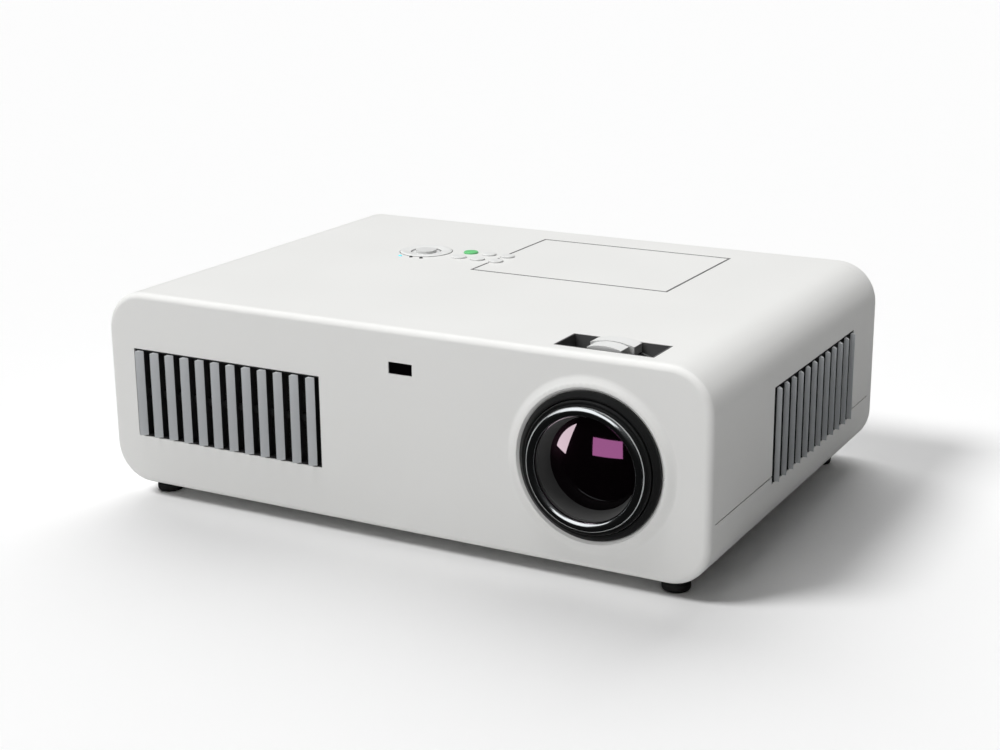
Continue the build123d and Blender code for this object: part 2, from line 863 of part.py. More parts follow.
def pin_slot(y, swing, depth_r0, depth_r1, turn):
    """Arc slot round the lens axis that lets a pin swing."""
    half = swing + math.degrees((pin_r + pin_gap) / depth_r0)
    plane = Plane(origin=(lens_x, 0, lens_z), x_dir=(1, 0, 0), z_dir=(0, 0, 1))
    section = Pos((depth_r0 + depth_r1) / 2, y) * Rectangle(depth_r1 - depth_r0, 2 * (pin_r + pin_gap))
    arc = revolve(plane * section, axis=Axis((lens_x, 0, lens_z), (0, 1, 0)), revolution_arc=2 * half)
    return arc.rotate(Axis((lens_x, 0, lens_z), (0, 1, 0)), turn - half)


def pin_turns():
    """Angles of the cam pins about the lens axis."""
    return [90 + index * 360 / pin_count for index in range(pin_count)]


def around_lens(piece, turn):
    """Turn a piece about the lens axis."""
    return piece.rotate(Axis((lens_x, 0, lens_z), (0, 1, 0)), turn)


def cam_slot(y, travel, swing, r0, r1, turn):
    """Slanted slot in a sliding barrel: its slope is the slide for each turn of the ring."""
    middle_r = (r0 + r1) / 2
    slope = math.degrees(math.atan2(travel, middle_r * math.radians(swing)))
    reach = math.hypot(middle_r * math.radians(swing), travel) + pin_gap
    outline = Rot(0, 0, slope) * SlotCenterToCenter(2 * reach, 2 * (pin_r + pin_gap))
    plane = Plane(origin=(lens_x + r0 - 1, y, lens_z), x_dir=(0, 0, -1), z_dir=(1, 0, 0))
    return around_lens(extrude(plane * outline, amount=r1 - r0 + 2), turn)


def ring_pins(y, tip_r):
    """Pins that stand inwards from a ring."""
    pin = rod_x(y, lens_z, lens_x + tip_r, lens_x + fixed_r + 1, pin_r)
    pins = [around_lens(pin, turn) for turn in pin_turns()]
    return pins[0] + pins[1] + pins[2]


def lens_barrel():
    """Fixed barrel: both rings turn on it, and both sliding barrels run in it."""
    shoulder = zoom_y1 + ring_stop_gap
    stop_r = fixed_r + ring_stop_h
    back = flange_y + flange_t
    seat = rear_lens_r + 0.1
    barrel = ring_of((fixed_bore, bezel_back_y), (fixed_r, bezel_back_y), (fixed_r, shoulder),
                     (stop_r, shoulder), (stop_r, shoulder + ring_stop_t),
                     (fixed_r, shoulder + ring_stop_t), (fixed_r, flange_y), (flange_r, flange_y),
                     (flange_r, back), (lens_seat_r, back), (lens_seat_r, back - 1),
                     (seat, back - 1), (seat, flange_y), (fixed_bore, flange_y))
    for turn in pin_turns():
        barrel -= pin_slot(focus_pin_y, focus_swing, fixed_bore - 1, fixed_r + 1, turn)
        barrel -= pin_slot(zoom_pin_y, zoom_swing, fixed_bore - 1, fixed_r + 1, turn)
    return barrel


def focus_barrel():
    """Sliding front barrel, with the ridge, the seat of the front lens and three cam slots."""
    r = front_barrel_r
    bore = front_barrel_bore
    seat = hood_end_y + front_lens_t
    front = front_y - front_barrel_proud
    ridge = front_y - ridge_proud
    barrel = ring_of((bore, front), (trim_r + 0.2, front), (r - 1.1, ridge + 0.3),
                     (r - 0.8, ridge - 0.3), (r - 0.3, ridge - 0.3), (r, ridge + 0.2),
                     (r, front_barrel_end), (bore, front_barrel_end), (bore, seat + lens_seat_t),
                     (lens_seat_r, seat + lens_seat_t), (lens_seat_r, seat), (bore, seat))
    for turn in pin_turns():
        barrel -= cam_slot(focus_pin_y, focus_travel, focus_swing, bore, r, turn)
    return barrel


def trim_ring():
    """Bright bead at the front of the sliding barrel."""
    base = front_y - front_barrel_proud
    crest = ((trim_r + trim_bore) / 2, base - trim_h)
    return turned(Line((trim_bore, base), (trim_r, base)),
                  ThreePointArc((trim_r, base), crest, (trim_bore, base)))


def lens_hood():
    """Conical hood inside the barrel, stepped near its mouth, which holds the front lens."""
    mouth = front_y - front_barrel_proud
    outer = front_barrel_bore - 0.05
    step = mouth + hood_step
    return ring_of((hood_mouth_r, mouth), (outer, mouth), (outer, hood_end_y), (hood_r, hood_end_y),
                   (hood_mouth_r - 0.9, step), (hood_mouth_r - 0.4, step))


def dome_rise(r, dome_r, sag):
    """Height of a dome's spherical face above its rim, at a radius."""
    ball_r = (dome_r ** 2 + sag ** 2) / (2 * sag)
    return math.sqrt(ball_r ** 2 - r ** 2) - (ball_r - sag)


def lens_of(rim_r, dome_r, y0, y1, front_sag, rear_sag):
    """Lens with a flat rim and two domed faces."""
    half = dome_r / 2
    return turned(
        Line((0, y0 - front_sag), (0, y1 + rear_sag)),
        ThreePointArc((0, y1 + rear_sag), (half, y1 + dome_rise(half, dome_r, rear_sag)), (dome_r, y1)),
        Line((dome_r, y1), (rim_r, y1)),
        Line((rim_r, y1), (rim_r, y0)),
        Line((rim_r, y0), (dome_r, y0)),
        ThreePointArc((dome_r, y0), (half, y0 - dome_rise(half, dome_r, front_sag)), (0, y0 - front_sag)),
    )


def zoom_barrel():
    """Sliding inner barrel that carries the zoom lens on two guide collars."""
    r = zoom_barrel_r
    bore = zoom_barrel_bore
    guide = fixed_bore - barrel_slide_gap
    a = zoom_barrel_front
    e = zoom_barrel_end
    g = a + zoom_guide_at
    seat = lens_seat_r - 0.5
    barrel = ring_of((bore, a), (r, a), (r, g), (guide, g), (guide, g + zoom_guide_l),
                     (r, g + zoom_guide_l), (r, e - zoom_guide_l), (guide, e - zoom_guide_l),
                     (guide, e), (seat, e), (seat, e - 2), (bore, e - 2))
    for turn in pin_turns():
        barrel -= cam_slot(zoom_pin_y, zoom_travel, zoom_swing, bore, r, turn)
    return barrel


def lever_ring(y0, y1, lever_w, proud, tip_r):
    """Ring with a curved lever pad on an arm, and three pins inside."""
    bore = fixed_r + ring_bearing_gap
    ring = ring_of((bore, y0), (ring_r, y0), (ring_r, y1), (bore, y1))
    middle = (y0 + y1) / 2
    x = lens_x + lever_offset
    pad_r = track_r + lever_gap
    ring += block(x - arm_w / 2, x + arm_w / 2, middle - arm_t / 2, middle + arm_t / 2,
                  lens_z + ring_r - 1, lens_z + pad_r + 1)
    left = x - lever_w / 2
    right = x + lever_w / 2
    low = lens_z + ring_r + 1
    outline = make_face([
        Line((left, low), (left, housing_h)),
        ThreePointArc((left, housing_h), (x, housing_h + proud), (right, housing_h)),
        Line((right, housing_h), (right, low)),
        Line((right, low), (left, low)),
    ])
    pad = front_prism(outline, y0, y1)
    pad -= rod_y(lens_x, lens_z, y0 - 1, y1 + 1, pad_r)
    ring += pad
    return ring + ring_pins(middle, tip_r)


def slot_bezel():
    """Black lining of the lever slot, with a curved track that the arms pass through."""
    x1 = slot_x0 + slot_w
    y1 = slot_y0 + slot_d
    deep = lens_z + math.sqrt(track_r ** 2 - (slot_w / 2 + 1) ** 2) - track_t
    lining = block(slot_x0 + 0.05, x1 - 0.05, slot_y0 + 0.05, y1 - 0.05, deep, housing_h)
    t = slot_wall
    lining -= block(slot_x0 + t, x1 - t, slot_y0 + t, y1 - t, deep - 1, housing_h + 1)
    track = rod_y(lens_x, lens_z, slot_y0 + t / 2, y1 - t / 2, track_r)
    track -= rod_y(lens_x, lens_z, slot_y0, y1, track_r - track_t)
    track &= block(slot_x0 + t / 2, x1 - t / 2, slot_y0, y1, deep - 2, housing_h)
    for y0, y2, swing in ((focus_y0, focus_y1, focus_swing), (zoom_y0, zoom_y1, zoom_swing)):
        reach = track_r * math.sin(math.radians(swing)) + arm_w / 2 + lever_gap + lever_offset
        middle = (y0 + y2) / 2
        half = arm_t / 2 + lever_gap
        track -= block(lens_x - reach, lens_x + reach, middle - half, middle + half, deep - 3, housing_h)
    flange = block(slot_x0 - slot_flange, x1 + slot_flange, slot_y0 + slot_d / 2, y1 + slot_flange,
                   ceiling_z - carrier_t, ceiling_z)
    flange -= block(slot_x0 + t, x1 - t, slot_y0, y1 - t, ceiling_z - 2, ceiling_z + 1)
    return lining + track + flange


def push_button(x, y):
    """Round cap with a stop flange and a stem over its switch."""
    top = housing_h + button_proud
    flange_top = ceiling_z - guide_t - 0.1
    cap = post(x, y, flange_top - 0.5, top, button_r)
    cap = fillet(cap.faces().sort_by(Axis.Z)[-1].edges(), button_edge_r)
    cap += post(x, y, flange_top - button_flange_t, flange_top, button_flange_r)
    return cap + post(x, y, switch_z + switch_play, flange_top - button_flange_t + 0.1, button_stem_r)


def nub_places():
    """Four press points under the navigation ring."""
    turns = [math.radians(45 + 90 * quarter) for quarter in range(4)]
    return [(nav_x + nub_place_r * math.cos(turn), nav_y + nub_place_r * math.sin(turn)) for turn in turns]


def navigation_ring():
    """Tilting ring with a dished top, two lugs for the gimbal and four press nubs."""
    top = housing_h + nav_proud
    under = ceiling_z + 0.6
    plane = Plane(origin=(nav_x, nav_y, 0), x_dir=(1, 0, 0), z_dir=(0, -1, 0))
    section = make_face(Polyline((nav_bore, under), (nav_r, under), (nav_r, top - 0.35), (nav_r - 0.5, top),
                                 (nav_r - nav_rim_w, top), (nav_bore, top - nav_dish), close=True))
    ring = revolve(plane * section, axis=Axis((nav_x, nav_y, 0), (0, 0, 1)))
    for side in (-1, 1):
        y0, y1 = sorted((nav_y + side * lug_r0, nav_y + side * lug_r1))
        ring += block(nav_x - lug_w / 2, nav_x + lug_w / 2, y0, y1, pivot_z - gimbal_h, under + 0.1)
    ring -= rod_y(nav_x, pivot_z, nav_y - nav_r, nav_y + nav_r, gimbal_pin_r + gimbal_pin_gap)
    for x, y in nub_places():
        ring += post(x, y, switch_z + 1, under + 0.1, nub_r)
    return ring


def navigation_gimbal():
    """Small ring with a pair of pins each way."""
    ring = post(nav_x, nav_y, pivot_z - gimbal_h / 2, pivot_z + gimbal_h / 2, gimbal_r)
    ring -= post(nav_x, nav_y, pivot_z - gimbal_h, pivot_z + gimbal_h, gimbal_bore)
    for side in (-1, 1):
        x0, x1 = sorted((nav_x + side * (gimbal_r - 0.5), nav_x + side * (lug_r1 - 0.3)))
        ring += rod_x(nav_y, pivot_z, x0, x1, gimbal_pin_r)
        y0, y1 = sorted((nav_y + side * (gimbal_r - 0.5), nav_y + side * (lug_r1 - 0.3)))
        ring += rod_y(nav_x, pivot_z, y0, y1, gimbal_pin_r)
    return ring


def enter_button():
    """Middle button: a cap, a wide skirt just under the ring's edge and a stem."""
    top = housing_h + enter_proud
    cap = post(nav_x, nav_y, housing_h - 1, top, enter_r)
    cap = fillet(cap.faces().sort_by(Axis.Z)[-1].edges(), 0.3)
    cap += post(nav_x, nav_y, housing_h - 0.9, housing_h - 0.3, enter_skirt_r)
    cap += post(nav_x, nav_y, pivot_z + gimbal_h / 2 - 0.2, housing_h - 0.8, enter_stem_r)
    return cap + post(nav_x, nav_y, switch_z + switch_play, pivot_z + 1, button_stem_r)


def status_light(x):
    """Light pipe with a rounded tip, standing on the control board."""
    pipe = post(x, light_y, board_z + board_t, housing_h + light_proud, light_r)
    return fillet(pipe.faces().sort_by(Axis.Z)[-1].edges(), light_tip_r)


def control_board():
    """Board with a switch under each button and two ears for the gimbal's pins."""
    board = block(nav_x - board_border, cover_x0 + cover_left_ledge, nav_y - board_border - board_post_r,
                  nav_y + board_border, board_z, board_z + board_t)
    switches = [(x, y, switch_w) for x, y in button_centres() + [(nav_x, nav_y)]]
    switches += [(x, y, small_switch_w) for x, y in nub_places()]
    for x, y, w in switches:
        board += block(x - w / 2, x + w / 2, y - w / 2, y + w / 2, board_z + board_t - 0.1, switch_z)
    for side in (-1, 1):
        x0, x1 = sorted((nav_x + side * lug_r0, nav_x + side * lug_r1))
        board += block(x0, x1, nav_y - lug_w / 2, nav_y + lug_w / 2,
                       board_z + board_t - 0.1, pivot_z + gimbal_h)
    reach = lug_r1 + 1
    return board - rod_x(nav_y, pivot_z, nav_x - reach, nav_x + reach, gimbal_pin_r + gimbal_pin_gap)


def lamp_cover():
    """Lift-off cover, notched round two buttons, with a locating rib below."""
    g = cover_gap
    under = housing_h - cover_t
    cover = block(cover_x0 + g, cover_x0 + cover_w - g, cover_y0 + g, cover_y0 + cover_d - g,
                  under + 0.05, housing_h)
    x0, x1, y0, y1 = cover_hole()
    rib = block(x0 + 2 * g, x1 - 2 * g, y0 + 2 * g, y1 - 2 * g, under - cover_rib_h, under + 0.1)
    t = 2 * g + cover_rib_t
    rib -= block(x0 + t, x1 - t, y0 + t, y1 - t, under - 2 * cover_rib_h, under)
    cover += rib
    for x, y in button_centres():
        if x + button_r > cover_x0:
            cover -= post(x, y, under - 1, housing_h + 1, button_r + button_gap)
    return cover


def foot_disc(x, y):
    """Front foot: a rubber disc that turns on its stem."""
    disc = post(x, y, -foot_h, -foot_play, foot_r)
    disc = fillet(disc.faces().sort_by(Axis.Z)[0].edges(), foot_edge_r)
    return disc - post(x, y, -stem_depth, 0, stem_r + stem_gap)


def foot_stem(x, y):
    """Threaded stem, drawn at its outer diameter."""
    return post(x, y, -stem_depth + 0.05, stem_up, stem_r)


def rear_foot(x, y):
    """Fixed rear foot with a peg into the case."""
    disc = post(x, y, -foot_h, 0, foot_r)
    disc = fillet(disc.faces().sort_by(Axis.Z)[0].edges(), foot_edge_r)
    return disc + post(x, y, -0.1, peg_h - 0.1, stem_r - 0.05)


def threaded_inserts():
    """Brass bushes of the front feet, then the four of the ceiling bracket."""
    bushes = []
    for x in (-foot_x, foot_x):
        bush = post(x, front_foot_y, 0, bush_top, bush_r - insert_fit)
        bushes.append(bush - post(x, front_foot_y, -1, bush_top + 1, stem_r + stem_gap))
    for x, y in insert_places():
        insert = post(x, y, 0, insert_l, insert_r - insert_fit)
        bushes.append(insert - post(x, y, -1, insert_l + 1, insert_bore))
    return bushes


def case_screws():
    """Pan-head screws from below into the upper case's bosses."""
    screws = []
    for x, y in screw_places:
        screw = post(x, y, screw_seat - screw_head_h, screw_seat, screw_head_r)
        screws.append(screw + post(x, y, screw_seat - 0.1, screw_l, screw_r))
    return screws


def fan_frame(size, depth):
    """Square fan frame with its bearing boss on struts, axis along z."""
    frame = Box(size, size, depth)
    frame = fillet(frame.edges().filter_by(Axis.Z), fan_corner_r)
    bore = size / 2 - fan_wall
    frame -= Cylinder(bore, depth + 2)
    hole = size / 2 - fan_hole_inset
    for x in (-hole, hole):
        for y in (-hole, hole):
            frame -= Pos(x, y) * Cylinder(fan_hole_r, depth + 2)
    back = -depth / 2
    plate_z = back + fan_plate_t / 2
    hub_r = size * 0.19
    strut = Pos((hub_r + bore) / 2, 0, plate_z) * Box(bore - hub_r + 2, strut_w, fan_plate_t)
    for index in range(4):
        frame += Rot(0, 0, 20 + 90 * index) * strut
    frame += Pos(0, 0, plate_z) * Cylinder(hub_r, fan_plate_t)
    frame += Pos(0, 0, back + 3.5) * Cylinder(shaft_r + fan_hole_r, 3)
    return frame - Pos(0, 0, back + 4.5) * Cylinder(shaft_r + shaft_gap, 6)


def fan_rotor(size, depth):
    """Fan rotor: a cup hub, curved blades and a shaft that runs in the boss."""
    hub_r = size * 0.2
    tip_r = size / 2 - fan_wall - fan_tip_gap
    back = -depth / 2
    low = back + 5.6
    high = depth / 2 - 1
    hub = Pos(0, 0, (low + high) / 2) * Cylinder(hub_r, high - low)
    hub -= Pos(0, 0, (low + high) / 2 - 1.5) * Cylinder(hub_r - 1.5, high - low)
    hub += Pos(0, 0, (back + 2.2 + high) / 2) * Cylinder(shaft_r, high - back - 2.2)
    chord = size * 0.17
    rise = (high - low) / 2 - 0.4
    bow = chord * 0.25
    blade_face = make_face([
        ThreePointArc((-chord, -rise), (bow, -rise * 0.3), (chord, rise)),
        Line((chord, rise), (chord + blade_t, rise - 0.2)),
        ThreePointArc((chord + blade_t, rise - 0.2), (bow + blade_t, -rise * 0.3 - blade_t * 0.6),
                      (-chord + blade_t * 0.5, -rise)),
        Line((-chord + blade_t * 0.5, -rise), (-chord, -rise)),
    ])
    plane = Plane(origin=(hub_r - 1.2, 0, (low + high) / 2), x_dir=(0, 1, 0), z_dir=(1, 0, 0))
    blade = extrude(plane * blade_face, amount=tip_r)
    blade &= Cylinder(tip_r, depth)
    for index in range(blade_count):
        hub += Rot(0, 0, index * 360 / blade_count) * blade
    return hub


intake_plane = Plane(origin=(intake_x, intake_y, fan_z), x_dir=(1, 0, 0), z_dir=(0, -1, 0))
exhaust_plane = Plane(origin=(exhaust_x, exhaust_y, fan_z), x_dir=(0, 1, 0), z_dir=(1, 0, 0))


def upright_plate(x, y, turn, length, thick, height):
    """Plate that stands on the tray at an angle."""
    return Pos(x, y, tray_z + height / 2) * Rot(0, 0, turn) * Box(length, thick, height)


def channel(x, y, turn, length, thick):
    """Low channel on the tray that holds a plate's foot."""
    gap = thick + 2 * channel_gap
    walls = Rot(0, 0, turn) * Box(length - channel_w, gap + 2 * channel_w, channel_h)
    slot = Rot(0, 0, turn) * Box(length + channel_w, gap, 2 * channel_h)
    return Pos(x, y, tray_z + channel_h / 2 - 0.1) * walls - Pos(x, y, tray_z + channel_h) * slot


def dichroic_places():
    """Middle and turn of the two dichroic mirrors."""
    return [(lens_x - arm_x, path_y, 45), (lens_x, path_y, 45)]


def fold_places():
    """Middle and turn of the five plain mirrors."""
    return [(fold_x, lamp_y, 45), (fold_x, path_y, -45), (lens_x - arm_x, prism_y, -45),
            (lens_x + arm_x, path_y, 45), (lens_x + arm_x, prism_y, 135)]


def panel_places():
    """Middle and turn of the three picture panels round the prism."""
    off = prism_size / 2 + panel_gap
    return [(lens_x, prism_y + off, 0), (lens_x - off, prism_y, 90), (lens_x + off, prism_y, 90)]


def relay_places():
    """Middle and turn of the square relay lenses along the light path."""
    lamp_side = [(lamp_x0 - relay_room - step * (relay_t + 3.5), lamp_y, 90) for step in range(2)]
    before_split = lens_x - arm_x - relay_l - 2 * channel_w - relay_t
    xs = (fold_x + relay_l + channel_w, before_split, lens_x + arm_x / 2)
    return lamp_side + [(x, path_y, 90) for x in xs]


def optical_base():
    """Tray that carries the whole light path, with its wall for the lens flange."""
    low = tray_z - tray_t
    half = mirror_l / 2 + mirror_room
    tray = block(tray_x0, tray_x1, path_y - path_half - 1, path_y + path_half, low, tray_z)
    tray += block(tray_x0, fold_x + half, path_y, lamp_y + half, low, tray_z)
    tray += block(fold_x, lamp_x0 - mirror_room, lamp_y - half, lamp_y + half, low, tray_z)
    back = flange_y + flange_t
    tray += block(lens_x - arm_x - half, tray_x1, back, path_y, low, tray_z)
    tray += block(lens_x - flange_r, lens_x + flange_r, back, back + tray_wall_t,
                  low, lens_z + flange_r - tray_wall_t)
    tray -= rod_y(lens_x, lens_z, back - 1, back + tray_wall_t + 1, beam_r)
    side = prism_size / 2
    tray += block(lens_x - side, lens_x + side, prism_y - side, prism_y + side, low, lens_z - side)
    for x, y, turn in dichroic_places() + fold_places():
        tray += channel(x, y, turn, mirror_l - 6, mirror_t)
    for x, y, turn in panel_places():
        tray += channel(x, y, turn, prism_size - 2, panel_t)
    for x, y, turn in relay_places():
        tray += channel(x, y, turn, relay_l, relay_t)
    for x, y in tray_legs():
        tray += post(x, y, wall, low + 0.1, leg_r)
    return tray


def tray_legs():
    """Places of the tray's legs on the lower case's floor."""
    left = tray_x0 + 1.5 * leg_r
    right = tray_x1 - 4 * leg_r
    front = flange_y + flange_t + tray_wall_t + 1.5 * leg_r
    return [(left, path_y - 1.5 * leg_r), (left, lamp_y + 2.5 * leg_r),
            (fold_x + 2 * relay_l, path_y - 2 * leg_r), (lens_x - arm_x - 2 * leg_r, front),
            (right, front), (right, path_y + 1.5 * leg_r)]


def lamp_housing():
    """Open lamp frame: base, two end plates, side rails and a carrying handle."""
    x0 = lamp_x0
    x1 = lamp_x0 + lamp_l
    y0 = lamp_y - lamp_w / 2
    y1 = lamp_y + lamp_w / 2
    t = lamp_plate_t
    top = lamp_top - rail_w - 1
    frame = block(x0, x1, y0, y1, wall, wall + t)
    frame += block(x0, x0 + t, y0, y1, wall, top)
    frame += block(x1 - t, x1, y0, y1, wall, top)
    for y in (y0, y1 - rail_w):
        frame += block(x0, x1, y, y + rail_w, top - rail_w, top)
    handle_x = x0 + handle_at
    frame += block(handle_x, handle_x + rail_w, y0, y1, top - rail_w, lamp_top)
    frame -= block(handle_x - 1, handle_x + rail_w + 1, y0 + 2 * rail_w, y1 - 2 * rail_w,
                   top - rail_w - 1, lamp_top - t)
    frame -= rod_x(lamp_y, lens_z, x0 - 1, x0 + t + 1, reflector_r - t)
    inset = lamp_l * 0.18
    for y in (lamp_y - lamp_w * 0.3, lamp_y, lamp_y + lamp_w * 0.3):
        frame -= block(x0 + inset, x1 - inset, y - rail_w, y + rail_w, 0, wall + t + 1)
    return frame - rod_x(lamp_y, lens_z, x1 - t - 1, x1 + 1, neck_r + 0.5)


def turned_x(edges):
    """Solid of revolution about the lamp's axis, from edges in x and radius."""
    plane = Plane(origin=(0, lamp_y, lens_z), x_dir=(1, 0, 0), z_dir=(0, -1, 0))
    return revolve(plane * make_face(edges), axis=Axis((0, lamp_y, lens_z), (1, 0, 0)))


def lamp_reflector():
    """Bowl-shaped reflector with a neck."""
    mouth = lamp_x0 + lamp_plate_t
    tail = mouth + reflector_l
    end = lamp_x0 + lamp_l - 1
    t = reflector_t
    half = reflector_l / 2
    rise = (reflector_r - neck_r) * 0.7
    return turned_x([
        Line((mouth, reflector_r - t), (mouth, reflector_r)),
        Bezier((mouth, reflector_r), (mouth + half, reflector_r - t / 2),
               (tail - 1.5 * t, neck_r + rise), (tail, neck_r)),
        Line((tail, neck_r), (end, neck_r)),
        Line((end, neck_r), (end, neck_r - t)),
        Line((end, neck_r - t), (tail - t, neck_r - t)),
        Bezier((tail - t, neck_r - t), (tail - 2.5 * t, neck_r + rise - 1.5 * t),
               (mouth + half, reflector_r - 1.5 * t), (mouth, reflector_r - t)),
    ])


def lamp_bulb():
    """Arc tube with a bulged middle and its ceramic base in the reflector's neck."""
    base = lamp_x0 + lamp_l - 1
    start = lamp_x0 + lamp_l * 0.28
    middle = lamp_x0 + lamp_l * 0.51
    swell = 1.6 * bulb_r
    foot = base - 2.25 * neck_r
    foot_r = neck_r - reflector_t - 0.05
    return turned_x([
        Line((start, 0), (start, tube_r - 0.2)),
        Line((start, tube_r - 0.2), (middle - swell, tube_r)),
        Spline((middle - swell, tube_r), (middle, bulb_r), (middle + swell, tube_r)),
        Line((middle + swell, tube_r), (foot, tube_r)),
        Line((foot, tube_r), (foot, foot_r)),
        Line((foot, foot_r), (base, foot_r)),
        Line((base, foot_r), (base, 0)),
        Line((base, 0), (start, 0)),
    ])


def on_board(x0, x1, y0, y1, z, sides, height):
    """Block on a board, its sides given as shares of the board's width and depth."""
    left, right, near, far = sides
    return block(x0 + left * (x1 - x0), x0 + right * (x1 - x0), y0 + near * (y1 - y0), y0 + far * (y1 - y0),
                 z - 0.1, z + height)


def heat_sink(x0, x1, y0, y1, z, base_t, height, fins):
    """Plate with upright fins that run left to right."""
    sink = block(x0, x1, y0, y1, z - 0.1, z + base_t)
    for step in range(fins):
        y = y0 + step * (y1 - y0 - fin_t) / (fins - 1)
        sink += block(x0, x1, y, y + fin_t, z + base_t - 1, z + height)
    return sink


def power_board():
    """Power supply: board, transformer, capacitors, choke and finned heat sink."""
    z = power_board_z + board_t
    area = (power_x0, power_x1, power_y0, power_y1)
    w = power_board_w
    d = power_y1 - power_y0
    board = block(*area, power_board_z, z)
    board += on_board(*area, z, (0.19, 0.63, 0.69, 0.93), transformer_h)
    for share in (0.66, 0.84):
        board += post(power_x0 + 0.82 * w, power_y0 + share * d, z - 0.1, z + capacitor_h, capacitor_r)
    choke = post(power_x0 + 0.78 * w, power_y0 + 0.43 * d, z - 0.1, z + choke_h, choke_r)
    board += choke - post(power_x0 + 0.78 * w, power_y0 + 0.43 * d, z + fin_t, z + choke_h + 1, choke_r / 2)
    return board + heat_sink(power_x0 + 0.07 * w, power_x0 + 0.52 * w,
                             power_y0 + 0.11 * d, power_y0 + 0.57 * d, z, sink_base_t, sink_h, 7)


def ballast_board():
    """Lamp ballast: board, coil block, capacitor and terminal strip."""
    z = power_board_z + board_t
    area = (ballast_x0, ballast_x1, ballast_y0, ballast_y1)
    board = block(*area, power_board_z, z)
    board += on_board(*area, z, (0.18, 0.55, 0.24, 0.76), coil_h)
    board += on_board(*area, z, (0.04, 0.11, 0.2, 0.8), coil_h * 0.8)
    return board + post(ballast_x0 + 0.77 * (ballast_x1 - ballast_x0), (ballast_y0 + ballast_y1) / 2,
                        z - 0.1, z + coil_h, capacitor_r - 1)


def main_board():
    """Main board with its processors under a finned sink and two memory blocks."""
    z = main_board_z + board_t
    area = (main_x0, main_x1, main_y0, main_y1)
    w = main_board_w
    d = main_board_d
    board = block(*area, main_board_z, z)
    board += heat_sink(main_x0 + 0.23 * w, main_x0 + 0.62 * w, main_y0 + 0.19 * d, main_y0 + 0.62 * d,
                       z, chip_t + 0.5, fin_h, 6)
    board += on_board(*area, z, (0.72, 0.92, 0.13, 0.35), chip_t)
    return board + on_board(*area, z, (0.72, 0.92, 0.46, 0.6), chip_t)


def d_outline(w, h):
    """Outline of a D-shaped shell, wider at the top."""
    slant = 1.2
    face = make_face(Polyline((-w / 2, h / 2), (w / 2, h / 2), (w / 2 - slant, -h / 2),
                              (-w / 2 + slant, -h / 2), close=True))
    return fillet(face.vertices(), 1.2)


def socket_body(x, w, h):
    """Block on the main board's rear edge, up to the bay's back wall."""
    z0 = main_board_z + board_t
    return block(x - w / 2, x + w / 2, bay_face_y - socket_block_d, bay_face_y, z0, z0 + h)


def computer_sockets():
    """D-shaped picture socket with its contacts, and a square data socket."""
    x0, x1 = socket_xs[:2]
    end = rear_y - 2.0
    picture = socket_body(x0, 1.7 * d_shell_w, socket_h)
    picture += front_prism(Pos(x0, socket_z) * d_outline(d_shell_w, d_shell_h), bay_face_y - 1, end)
    picture -= front_prism(Pos(x0, socket_z) * d_outline(d_shell_w - 1, d_shell_h - 1), end - 0.8, end + 1)
    for row in (-1, 0, 1):
        for column in range(-2, 3):
            x = x0 + (column + (0.25 if row == 0 else 0)) * contact_pitch
            picture -= rod_y(x, socket_z + row * contact_pitch * 0.87, end - 4, end + 1, contact_r)
    data = socket_body(x1, data_w, socket_h)
    data += block(x1 - data_w / 2, x1 + data_w / 2, bay_face_y - 1, bay_face_y + bay_wall + socket_skin,
                  socket_z - data_h / 2, socket_z + data_h / 2)
    w = data_w / 2 - socket_skin
    h = data_h / 2 - socket_skin
    data -= block(x1 - w, x1 + w, bay_face_y - 6, rear_y, socket_z - h, socket_z + h)
    data += block(x1 - 0.7 * w, x1 + 0.7 * w, bay_face_y - 7, bay_face_y + bay_wall,
                  socket_z - 0.4 * h, socket_z + 0.4 * h)
    return [picture, data]


def picture_sound_sockets():
    """Round picture socket, coaxial picture socket and a small sound jack."""
    x0, x1, x2 = socket_xs[2:]
    face = bay_face_y
    lip = face + bay_wall + socket_skin
    din = socket_body(x0, din_d + 1, socket_h) + rod_y(x0, socket_z, face - 1, lip, din_d / 2)
    din -= rod_y(x0, socket_z, face + bay_wall, rear_y, din_d / 2 - 0.6)
    for side in (-1, 1):
        din -= rod_y(x0 + side * 1.6, socket_z + 0.8, face - 2, rear_y, contact_r)
        din -= rod_y(x0 + side * 0.9, socket_z - 1.2, face - 2, rear_y, contact_r)
    coax = socket_body(x1, coax_d + 1, socket_h) + rod_y(x1, socket_z, face - 1, lip, coax_d / 2)
    coax += rod_y(x1, socket_z, face, rear_y - 0.3, coax_d / 2 - 0.5)
    coax -= rod_y(x1, socket_z, face - 6, rear_y + 1, 3.2 * contact_r)
    jack = socket_body(x2, jack_d + 2, socket_h) + rod_y(x2, socket_z, face - 1, lip, jack_d / 2)
    jack -= rod_y(x2, socket_z, face - 8, rear_y, 3.6 * contact_r)
    return [din, coax, jack]


